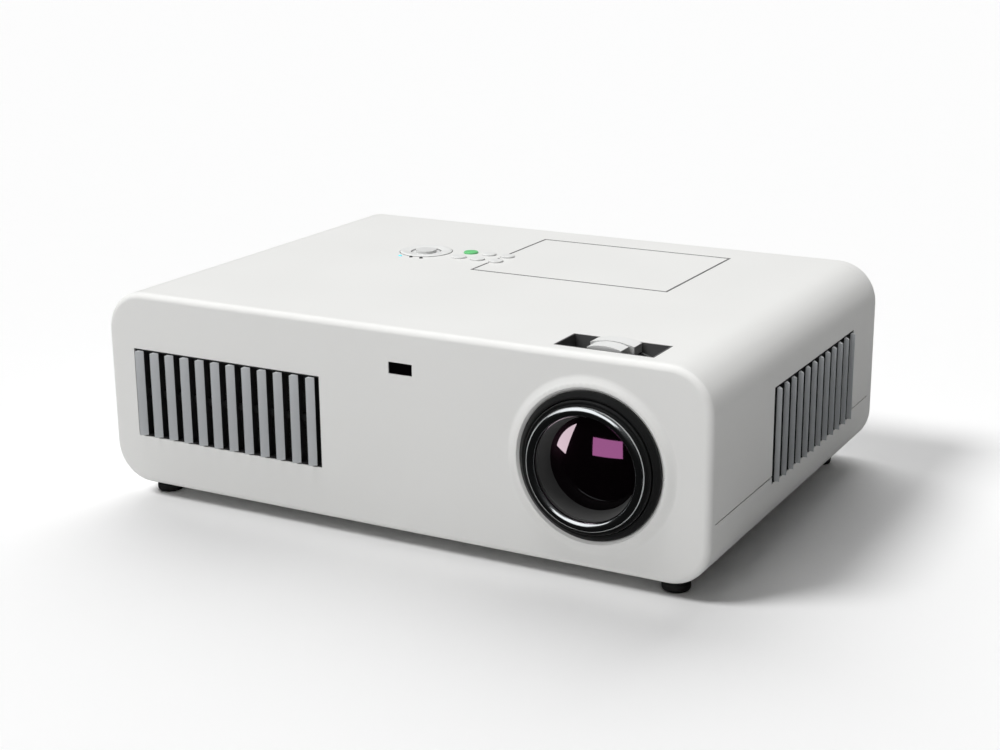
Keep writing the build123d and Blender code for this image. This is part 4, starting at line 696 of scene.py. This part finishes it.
def set_inputs(modifier, values):
    """Set a Geometry Nodes modifier's named inputs."""
    for item in modifier.node_group.interface.items_tree:
        if item.in_out == "INPUT" and item.name in values:
            modifier[item.identifier] = values[item.name]


def cad_shading_tree():
    """Tree that shades a CAD node smooth, with its edges kept crisp."""
    g = Geometry("shade_by_angle", [("Angle", "Float")])
    faces = g.node("GeometryNodeSetShadeSmooth", {"domain": "FACE"}, {
        "Geometry": g.input("Geometry"), "Shade Smooth": True})
    turn = g.node("GeometryNodeInputMeshEdgeAngle")
    blunt = g.node("FunctionNodeCompare", {"operation": "LESS_THAN"}, {0: turn, 1: g.input("Angle")})
    return g.finish(g.node("GeometryNodeSetShadeSmooth", {"domain": "EDGE"}, {
        "Geometry": faces, "Shade Smooth": blunt}))


def dress_nodes(material, *nodes):
    """Give CAD nodes their material, and smooth shading over their curves."""
    tree = bpy.data.node_groups.get("shade_by_angle") or cad_shading_tree()
    for node in nodes:
        obj = frame["nodes"][node]
        obj.data.materials.clear()
        obj.data.materials.append(material)
        weld = obj.modifiers.new("weld", "WELD")
        weld.merge_threshold = WELD_GAP
        shade = obj.modifiers.new("shade", "NODES")
        shade.node_group = tree
        set_inputs(shade, {"Angle": math.radians(CAD_CREASE)})
        normals = obj.modifiers.new("normals", "WEIGHTED_NORMAL")
        normals.keep_sharp = True
        normals.weight = 100


def slat_tree():
    """Tree that repeats a wedge slat along a row."""
    g = Geometry("slat_row", [("Count", "Int"), ("Pitch", "Float"), ("Material", "Material")])
    line = g.node("GeometryNodeMeshLine", {}, {
        "Count": g.input("Count"), "Start Location": (0, 0, 0),
        "Offset": g.node("ShaderNodeCombineXYZ", {}, {0: g.input("Pitch")})})
    g.finish_copies(line, g.input("Geometry"))
    return g


def places_tree(name, crossed):
    """Tree that sets a piece on each point of a mesh; a crossed one has a cross cut in its lower end."""
    g = Geometry(name, [("Piece", "Object"), ("Bar", "Vector"), ("Material", "Material")])
    piece = g.node("GeometryNodeObjectInfo", {}, {"Object": g.input("Piece")}, "Geometry")
    if crossed:
        bar = g.node("GeometryNodeMeshCube", {}, {"Size": g.input("Bar")})
        other = g.node("GeometryNodeTransform", {}, {"Geometry": bar, "Rotation": (0, 0, math.pi / 2)})
        piece = g.node("GeometryNodeMeshBoolean", {"operation": "DIFFERENCE", "solver": "EXACT"}, {
            "Mesh 1": piece, "Mesh 2": bar})
        g.tree.links.new(other, piece.node.inputs["Mesh 2"])
    g.finish_copies(g.input("Geometry"), piece)
    return g


def set_on_spots(tree, node, name, outline, material, bar=(0, 0, 0), steps=48):
    """Turn an outline of (radius, height), and set one on each solid of a CAD node."""
    piece = lathe(name + "_piece", outline, (0, 0, 0), (0, 0, 1), steps)
    points = bpy.data.meshes.new(name + "_points")
    points.from_pydata(spots(node), [], [])
    row = tree.apply(name, points, {"Piece": piece, "Bar": bar, "Material": material})
    bpy.data.objects.remove(piece)
    smooth(row.data, TURNED_CREASE)
    return row


def wedge_mesh(name, base, proud, height, edge):
    """One upright wedge slat with softened edges; its back lies in the plane of x and z."""
    work = bmesh.new()
    outline = [(0, 0), (0, -proud), (base, 0)]
    low = [work.verts.new((x, y, 0)) for x, y in outline]
    high = [work.verts.new((x, y, height)) for x, y in outline]
    work.faces.new(low)
    work.faces.new(high)
    for index in range(3):
        after = (index + 1) % 3
        work.faces.new((low[index], low[after], high[after], high[index]))
    bmesh.ops.recalc_face_normals(work, faces=work.faces)
    outer = []
    for line in work.edges:
        first, second = (vertex.co for vertex in line.verts)
        if min(first.y, second.y) < -proud / 2 or abs(first.z - second.z) < edge:
            outer.append(line)
    bmesh.ops.bevel(work, geom=outer, offset=edge, segments=3, profile=0.5, affect="EDGES")
    data = mesh_data(name, work)
    smooth(data, WEDGE_CREASE)
    return data


# Operators, one for each group of pieces


class PROJECTOR_OT_stage(bpy.types.Operator):
    """Set the camera, the floor and the lights"""
    bl_idname = "projector.stage"
    bl_label = "Stage"

    def execute(self, context):
        s = context.scene.projector_stage
        level = math.cos(s.elevation)
        back = Vector((math.sin(s.azimuth) * level, -math.cos(s.azimuth) * level, math.sin(s.elevation)))
        right = Vector((math.cos(s.azimuth), math.sin(s.azimuth), 0))
        up = back.cross(right)
        rolled_right = right * math.cos(s.roll) + up * math.sin(s.roll)
        rolled_up = up * math.cos(s.roll) - right * math.sin(s.roll)
        camera = bpy.data.objects.new("camera", bpy.data.cameras.new("camera"))
        camera.data.lens = s.focal
        camera.data.sensor_width = 36.0
        camera.data.clip_start = 0.01
        camera.data.clip_end = 50.0
        turn = Matrix((rolled_right, rolled_up, back)).transposed().to_4x4()
        camera.matrix_world = Matrix.Translation(s.camera_place) @ turn
        context.scene.collection.objects.link(camera)
        context.scene.camera = camera

        ground = self.floor(s.floor)
        pieces = [obj for obj in context.scene.objects if obj.type == "MESH" and obj != ground]
        self.sun("top_light", s.top, TOP_SUN, pieces)
        self.sun("front_light", s.front, FRONT_SUN, pieces)
        self.sun("floor_left_light", s.floor_left, FLOOR_LEFT_SUN, [ground])
        self.sun("floor_rear_light", s.floor_rear, FLOOR_REAR_SUN, [ground])
        self.mirrored("window_light", **WINDOW_LIGHT)
        self.cut_crescent(self.mirrored("lamp_light", **CRESCENT_LIGHT))
        self.panel("trim_light", bpy.data.objects["trim_bead"], PANEL_RADIANCE * s.mirrored)
        context.scene.world = self.sky(s.sky)
        context.scene.view_settings.view_transform = "Standard"
        context.scene.cycles.caustics_reflective = False
        return {"FINISHED"}

    def floor(self, white):
        """Wide matt floor, seen in no mirror image."""
        corners = [(x * FLOOR_REACH, y * FLOOR_REACH, 0) for x, y in ((-1, -1), (1, -1), (1, 1), (-1, 1))]
        mesh = bpy.data.meshes.new("floor")
        mesh.from_pydata(corners, [], [(0, 1, 2, 3)])
        ground = new_object("floor", mesh)
        f = Finish("floor_white")
        speck = f.noise(40.0, 3.0)
        colour = f.mix(speck, (white - FLOOR_FLECK,) * 3, (white + FLOOR_FLECK,) * 3)
        mesh.materials.append(f.surface(Base_Color=colour, Roughness=0.8, Specular_IOR_Level=0.0))
        ground.visible_glossy = False
        return ground

    def sun(self, name, strength, angles, targets):
        """Far light, from its spread, compass turn and height, that shines only on its targets."""
        spread, turn, height = (math.radians(value) for value in angles)
        data = bpy.data.lights.new(name, "SUN")
        data.energy = strength
        data.angle = spread
        level = math.cos(height)
        source = Vector((math.cos(turn) * level, math.sin(turn) * level, math.sin(height)))
        facing = source.to_track_quat("Z", "Y").to_matrix()
        self.hang(data, facing, (0, 0, 0), targets).visible_glossy = False

    def rectangle(self, name, size, colour, radiance):
        """Data of a rectangular light, from its size and its radiance."""
        data = bpy.data.lights.new(name, "AREA")
        data.shape = "RECTANGLE"
        data.size, data.size_y = size
        data.color = colour
        data.energy = radiance * math.pi * data.size * data.size_y
        return data

    def hang(self, data, turn, place, targets):
        """Put a light in its place, out of the picture, and keep it off everything but its targets."""
        lamp = bpy.data.objects.new(data.name, data)
        lamp.matrix_world = Matrix.Translation(place) @ turn.to_4x4()
        lamp.visible_camera = False
        only = bpy.data.collections.new(data.name + "_shines_on")
        for target in targets:
            only.objects.link(target)
        lamp.light_linking.receiver_collection = only
        bpy.context.scene.collection.objects.link(lamp)
        return lamp

    def panel(self, name, target, radiance):
        """Wide panel of light off the lens face, that shines on one piece."""
        away = Vector(PANEL_DIRECTION).normalized()
        data = self.rectangle(name, PANEL_SIZE, (1.0, 1.0, 1.0), radiance)
        place = Vector((LENS.x, FACE_Y, LENS.z)) + away * PANEL_GAP
        self.hang(data, away.to_track_quat("Z", "Y").to_matrix(), place, [target])

    def cut_crescent(self, data):
        """Let a light shine only inside a circle about the lens axis, left of one line and above another."""
        f = Finish(data.name, data)
        across, up, _ = f.apart(f.node("ShaderNodeNewGeometry", output="Parametric"))
        size, spot = CRESCENT_LIGHT["size"], CRESCENT_LIGHT["spot"]
        x = (across - 0.5) * size[0] + spot[0]
        z = (up - 0.5) * size[1] + spot[1]
        (tip_x, tip_z), (foot_x, foot_z), (heel_x, heel_z) = CRESCENT
        left = (x - foot_x) * (tip_z - foot_z) < (z - foot_z) * (tip_x - foot_x)
        above = (x - foot_x) * (heel_z - foot_z) > (z - foot_z) * (heel_x - foot_x)
        inside = (x * x + z * z) < (tip_x ** 2 + tip_z ** 2)
        f.close("ShaderNodeOutputLight", "ShaderNodeEmission", Strength=left * above * inside)

    def mirrored(self, name, spot, size, gap, colour, radiance):
        """Light in front of the glass, mirrored at a spot off its axis, that shines on nothing else."""
        s = bpy.context.scene.projector_stage
        g = bpy.context.scene.projector_lens
        glass = bpy.data.objects["front_glass"]
        ball = ball_radius(g)
        middle = Vector((LENS.x, FACE_Y + g.glass_depth - g.glass_sag + ball, LENS.z))
        across = Vector((spot[0], 0, spot[1]))
        point = middle + across - Vector((0, math.sqrt(ball ** 2 - across.length_squared), 0))
        normal = (point - middle) / ball
        sight = (point - Vector(s.camera_place)).normalized()
        away = sight - 2 * sight.dot(normal) * normal
        # A far light faces the spot; a near one lies level with the glass there
        facing = away if gap > ball / 2 else normal
        # The domed glass shows a light this much smaller
        grown = [side * (1 + 2 * gap / ball) for side in size]
        data = self.rectangle(name, grown, colour, radiance * s.mirrored)
        level = Vector((0, 0, 1)).cross(facing).normalized()
        axes = Matrix((level, facing.cross(level), facing)).transposed()
        self.hang(data, axes, point + away * gap / away.dot(facing), [glass])
        return data

    def sky(self, strength):
        """World that is bright overhead and dark round the horizon."""
        world = bpy.data.worlds.new("overhead_light")
        f = Finish(world.name, world)
        _, _, height = f.apart(f.node("ShaderNodeTexCoord", output="Generated"))
        grey = f.node("ShaderNodeValToRGB", {"stops": SKY_STOPS}, {"Fac": height})
        return f.close("ShaderNodeOutputWorld", "ShaderNodeBackground", Color=grey, Strength=strength)


class PROJECTOR_OT_housing(bpy.types.Operator):
    """Finish the white covers and cases"""
    bl_idname = "projector.housing"
    bl_label = "Housing"

    def execute(self, context):
        s = context.scene.projector_housing
        white = moulded("moulded_white", s.colour, 0.40, s.grain, s.edge)
        dress_nodes(white, "front_cover", "upper_case", "lower_case", "rear_cover", "lamp_cover")
        # A grey strip over the lamp cover's gap: painted shade that stands in for the gap's shadow
        gap_shade_strip = self.gap_shade_strip(s.gap_shade_in, s.gap_shade_out)
        grey = moulded("seal_grey", GAP_SHADE_GREY, 0.7, s.grain, 0.0)
        dress(gap_shade_strip, grey, body_of("lamp_cover"), "black_plastic")
        return {"FINISHED"}

    def gap_shade_strip(self, inward, outward):
        """Thin grey strip of painted shade over the gap round the lamp cover, standing in for the gap's
        shadow; left open where buttons stand in its line.
        """
        low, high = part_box("lamp_cover")
        width = inward + outward
        x0, y0, x1, y1 = low.x - outward, low.y - outward, high.x + outward, high.y + outward
        bars = [(x0, y0, x1, y0 + width), (x0, y1 - width, x1, y1), (x1 - width, y0 + width, x1, y1 - width)]
        start = y0 + width
        for near, far in sorted((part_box(node) for node in BUTTONS), key=lambda box: box[0].y):
            if near.x < x0 < far.x:
                bars.append((x0, start, x0 + width, near.y))
                start = far.y
        bars.append((x0, start, x0 + width, y1 - width))
        work = bmesh.new()
        for left, front, right, rear in bars:
            place = Matrix.Translation(((left + right) / 2, (front + rear) / 2, TOP_Z + GAP_SHADE_THICK / 2))
            size = Matrix.Diagonal((right - left, rear - front, GAP_SHADE_THICK, 1))
            bmesh.ops.create_cube(work, size=1, matrix=place @ size)
        return new_object("lamp_cover_seal", mesh_data("lamp_cover_seal", work))


class PROJECTOR_OT_grilles(bpy.types.Operator):
    """Make the slats of both grilles, and finish what stands behind them"""
    bl_idname = "projector.grilles"
    bl_label = "Grilles"

    def execute(self, context):
        s = context.scene.projector_grilles
        h = context.scene.projector_housing
        paint = silver_paint("slat_silver", s.colour)
        black = moulded("grille_black", h.dark, 0.5, h.grain, h.edge)
        dress_nodes(black, "front_carrier", "side_carrier")
        dress_nodes(foam("filter_foam"), "dust_filter")
        tree = slat_tree()
        for node in ("front_slats", "side_slats"):
            low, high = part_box(node)
            side = node == "side_slats"
            run = high.y - low.y if side else high.x - low.x
            proud = high.x - low.x if side else high.y - low.y
            wedge = wedge_mesh(node + "_wedge", s.base, proud, high.z - low.z - s.foot, s.edge)
            pitch = (run - s.base) / (s.count - 1)
            row = tree.apply(node + "_row", wedge, {"Count": s.count, "Pitch": pitch, "Material": paint})
            place = Matrix.Translation((low.x, low.y if side else high.y, low.z + s.foot))
            row.data.transform(place @ Matrix.Rotation(math.pi / 2 if side else 0.0, 4, "Z"))
            dress(row, None, "housing", "silver_plastic", node)
        return {"FINISHED"}


class PROJECTOR_OT_lens(bpy.types.Operator):
    """Make the lens rings, the hood and the front glass"""
    bl_idname = "projector.lens"
    bl_label = "Lens"

    def execute(self, context):
        s = context.scene.projector_lens
        black = turned_plastic("lens_black", s.black, 0.40)
        bezel = lens_turned("bezel_ring", BEZEL_OUTLINE, BEZEL_CORNER, s.steps)
        dress(bezel, black, "housing", "black_plastic", "lens_bezel")
        barrel = lens_turned("front_barrel", BARREL_OUTLINE, BARREL_CORNER, s.steps)
        dress(barrel, black, "focus_barrel", "black_plastic", "focus_barrel")
        arc = [math.pi * step / BEAD_STEPS for step in range(BEAD_STEPS + 1)]
        bead = [(TRIM_CREST_R + TRIM_HALF_W * math.cos(a), TRIM_BASE + TRIM_RISE * math.sin(a)) for a in arc]
        trim = lens_turned("trim_bead", bead, TRIM_CORNER, s.steps)
        dress(trim, bright_metal("trim_bright", s.trim, 0.15), "focus_barrel", "bright_trim", "trim_ring")
        hood = lens_turned("hood_cone", HOOD_OUTLINE, HOOD_CORNER, s.steps)
        matt = turned_plastic("hood_dark", s.hood, 0.6, shine=0.0)
        dress(hood, matt, "focus_barrel", "hood_plastic", "lens_hood")
        coating = coated_glass("front_coating", s.glass, 0.5)
        dress(self.glass(s), coating, "focus_barrel", "lens_glass", "front_lens")
        inner = plain_glass("optical_glass", OPTICAL_GLASS)
        dress_nodes(inner, "zoom_lens", "rear_lens", "relay_lenses", "prism_block", "picture_panels")
        dress_nodes(black, "lens_barrel", "zoom_barrel")
        return {"FINISHED"}

    def glass(self, s):
        """Lens with a ground rim and a domed face each side."""
        low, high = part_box("front_lens")
        thick = high.y - low.y - 2 * s.glass_sag
        ball = ball_radius(s)

        def dome(level, sign):
            rise = []
            for step in range(DOME_STEPS + 1):
                r = s.glass_r * step / DOME_STEPS
                rise.append((r, level - sign * (math.sqrt(ball ** 2 - r ** 2) - (ball - s.glass_sag))))
            return rise
        rim = (high.x - low.x) / 2
        front = s.glass_depth
        back = s.glass_depth + thick
        outline = dome(front, 1) + [(rim, front), (rim, back)] + dome(back, -1)[::-1]
        centre = (LENS.x, FACE_Y, LENS.z)
        return lathe("front_glass", outline, centre, (0, 1, 0), s.steps, GLASS_CREASE)


def ball_radius(s):
    """Radius of the ball that the front glass is a cap of."""
    return (s.glass_r ** 2 + s.glass_sag ** 2) / (2 * s.glass_sag)


class PROJECTOR_OT_levers(bpy.types.Operator):
    """Finish the lever slot and the two lens rings with their levers"""
    bl_idname = "projector.levers"
    bl_label = "Levers"

    def execute(self, context):
        h = context.scene.projector_housing
        c = context.scene.projector_controls
        dress_nodes(moulded("slot_black", SLOT_BLACK, 0.6, h.grain, h.edge), "slot_bezel")
        dress_nodes(moulded("lever_white", c.cap, 0.38, h.grain, h.edge), "focus_ring", "zoom_ring")
        return {"FINISHED"}


class PROJECTOR_OT_controls(bpy.types.Operator):
    """Make the buttons, the navigation ring and the lights"""
    bl_idname = "projector.controls"
    bl_label = "Controls"

    def execute(self, context):
        s = context.scene.projector_controls
        h = context.scene.projector_housing
        steps = context.scene.projector_lens.steps // 2
        white = moulded("cap_white", s.cap, 0.36, h.grain, 0.0)
        green = moulded("cap_green", s.power, 0.33, h.grain, 0.0)
        for node in BUTTONS:
            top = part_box(node)[1].z
            x, y = middle(node).xy
            outline = [(r * MM, top - below * MM) for r, below in CAP_OUTLINE]
            cap = lathe(node + "_cap", soft_corners(outline, CAP_CORNER), (x, y, 0), (0, 0, 1), steps)
            finish, slot = (green, "green_plastic") if node == "power_button" else (white, "grey_plastic")
            dress(cap, finish, node, slot, node)
        dress_nodes(white, "navigation_ring")
        dress_nodes(moulded("enter_grey", lighter(s.cap, -0.1), 0.36, h.grain, h.edge), "enter_button")
        gimbal = moulded("gimbal_grey", lighter(s.cap, -0.5), 0.4, h.grain, h.edge)
        dress_nodes(gimbal, "navigation_gimbal")
        dress_nodes(indicator("light_lit", s.lit, s.glow), "power_light")
        dress_nodes(indicator("light_dark", LIGHT_DARK, 0.0), "warning_lights")
        dress_nodes(coated_glass("window_dark", WINDOW_DARK, 0.25), "ir_window")
        return {"FINISHED"}


class PROJECTOR_OT_feet(bpy.types.Operator):
    """Make the feet and the case screws, and finish the stems and the inserts"""
    bl_idname = "projector.feet"
    bl_label = "Feet"

    def execute(self, context):
        black = rubber("foot_black")
        plain = places_tree("plain_places", False)
        for node in ("left_foot", "right_foot", "rear_feet"):
            foot = set_on_spots(plain, node, node + "_tread", self.foot_outline(tall(node)), black)
            dress(foot, None, body_of(node), "foot_rubber", node)
        steel = machined("screw_steel", SCREW_STEEL)
        screws = set_on_spots(places_tree("crossed_places", True), "case_screws", "crossed_screws",
                              self.screw_outline(tall("case_screws")), steel, CROSS_BAR)
        dress(screws, None, "housing", "steel", "case_screws")
        dress_nodes(machined("stem_steel", STEM_STEEL), "left_foot_stem", "right_foot_stem")
        dress_nodes(machined("insert_brass", INSERT_BRASS), "threaded_inserts")
        return {"FINISHED"}

    def foot_outline(self, top):
        """Foot with a soft tread edge and a grip groove, from its ground face up."""
        points = [(0, 0), (0.0046, 0), (0.0058, 0.0005), (0.0061, 0.0014), (0.0061, 0.0030), (0.0056, 0.0033),
                  (0.0056, 0.0038), (0.0061, 0.0041), (0.0061, top - 0.0004), (0.0057, top), (0, top)]
        return soft_corners(points, 0.0002, 2)

    def screw_outline(self, top):
        """Pan-head screw, from the face of its head up to its tip."""
        points = [(0, 0), (0.0017, 0), (0.0025, 0.0004), (0.0028, 0.0012), (0.0028, 0.0020), (0.0015, 0.0020),
                  (0.0015, top - 0.0015), (0.0006, top), (0, top)]
        return soft_corners(points, 0.0001, 2)


class PROJECTOR_OT_rear(bpy.types.Operator):
    """Finish the sockets and the inlet at the back"""
    bl_idname = "projector.rear"
    bl_label = "Rear"

    def execute(self, context):
        h = context.scene.projector_housing
        black = moulded("socket_black", h.dark, 0.4, h.grain, h.edge)
        dress_nodes(black, "power_inlet", "speaker")
        dress_nodes(self.socket_finish(h.dark), "signal_sockets")
        return {"FINISHED"}

    def socket_finish(self, dark):
        """Black socket bodies with plated shells, and a coloured ring for the round picture socket."""
        f = Finish("socket_mix")
        x, y, _ = f.apart(f.place())
        grit = f.noise(1800.0, 2.0)
        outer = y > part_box("signal_sockets")[1].y - SHELL_DEPTH
        boxes = sorted(solids("signal_sockets"), key=lambda box: box[0].x)
        shells = self.between(x, boxes[0]) + self.between(x, boxes[1])
        yellow = self.between(x, boxes[-2]) * outer
        metal = shells * outer
        return f.surface(
            Base_Color=f.mix(yellow, f.mix(metal, dark, SHELL_METAL), SOCKET_YELLOW),
            Metallic=metal * 0.35,
            Roughness=0.34 + (grit - 0.5) * 0.15,
            Normal=f.bump(grit, 0.00001))

    def between(self, value, box):
        """One where a value is within a box's width, else zero."""
        return (value > box[0].x) * (value < box[1].x)


class PROJECTOR_OT_inner(bpy.types.Operator):
    """Finish the fans, the light path, the lamp and the boards"""
    bl_idname = "projector.inner"
    bl_label = "Inner pieces"

    def execute(self, context):
        h = context.scene.projector_housing
        black = moulded("fan_black", h.dark, 0.45, h.grain, h.edge)
        dress_nodes(black, "intake_fan_frame", "intake_fan_rotor", "exhaust_fan_frame", "exhaust_fan_rotor",
                    "optical_base")
        dress_nodes(machined("cast_frame", CAST_METAL, 0.45), "lamp_housing")
        dress_nodes(plain_glass("lamp_glass", LAMP_GLASS), "lamp_bulb")
        coat = mirror_coat("mirror_coating", MIRROR_COAT)
        dress_nodes(coat, "dichroic_mirrors", "folding_mirrors", "lamp_reflector")
        dress_nodes(circuit_board("board_green"), "control_board", "main_board", "power_boards")
        return {"FINISHED"}


class PROJECTOR_PT_panel(bpy.types.Panel):
    """Lists the projector's groups of pieces"""
    bl_idname = "PROJECTOR_PT_panel"
    bl_label = "Projector"
    bl_space_type = "VIEW_3D"
    bl_region_type = "UI"
    bl_category = "Projector"

    def draw(self, context):
        for operator in OPERATORS:
            self.layout.operator(operator.bl_idname)


SETTINGS = {
    "projector_housing": HousingSettings,
    "projector_grilles": GrilleSettings,
    "projector_lens": LensSettings,
    "projector_controls": ControlSettings,
    "projector_stage": StageSettings,
}
OPERATORS = (
    PROJECTOR_OT_housing,
    PROJECTOR_OT_grilles,
    PROJECTOR_OT_lens,
    PROJECTOR_OT_levers,
    PROJECTOR_OT_controls,
    PROJECTOR_OT_feet,
    PROJECTOR_OT_rear,
    PROJECTOR_OT_inner,
    PROJECTOR_OT_stage,
)


def register():
    """Add the settings, the operators and the panel."""
    for name, group in SETTINGS.items():
        bpy.utils.register_class(group)
        setattr(bpy.types.Scene, name, PointerProperty(type=group))
    for operator in OPERATORS:
        bpy.utils.register_class(operator)
    bpy.utils.register_class(PROJECTOR_PT_panel)


def unregister():
    """Take them away again."""
    bpy.utils.unregister_class(PROJECTOR_PT_panel)
    for operator in reversed(OPERATORS):
        bpy.utils.unregister_class(operator)
    for name, group in SETTINGS.items():
        delattr(bpy.types.Scene, name)
        bpy.utils.unregister_class(group)


def main():
    """Register the add-on, then make every piece in order."""
    register()
    for operator in OPERATORS:
        group, action = operator.bl_idname.split(".")
        getattr(getattr(bpy.ops, group), action)()


if __name__ == "__main__":
    main()
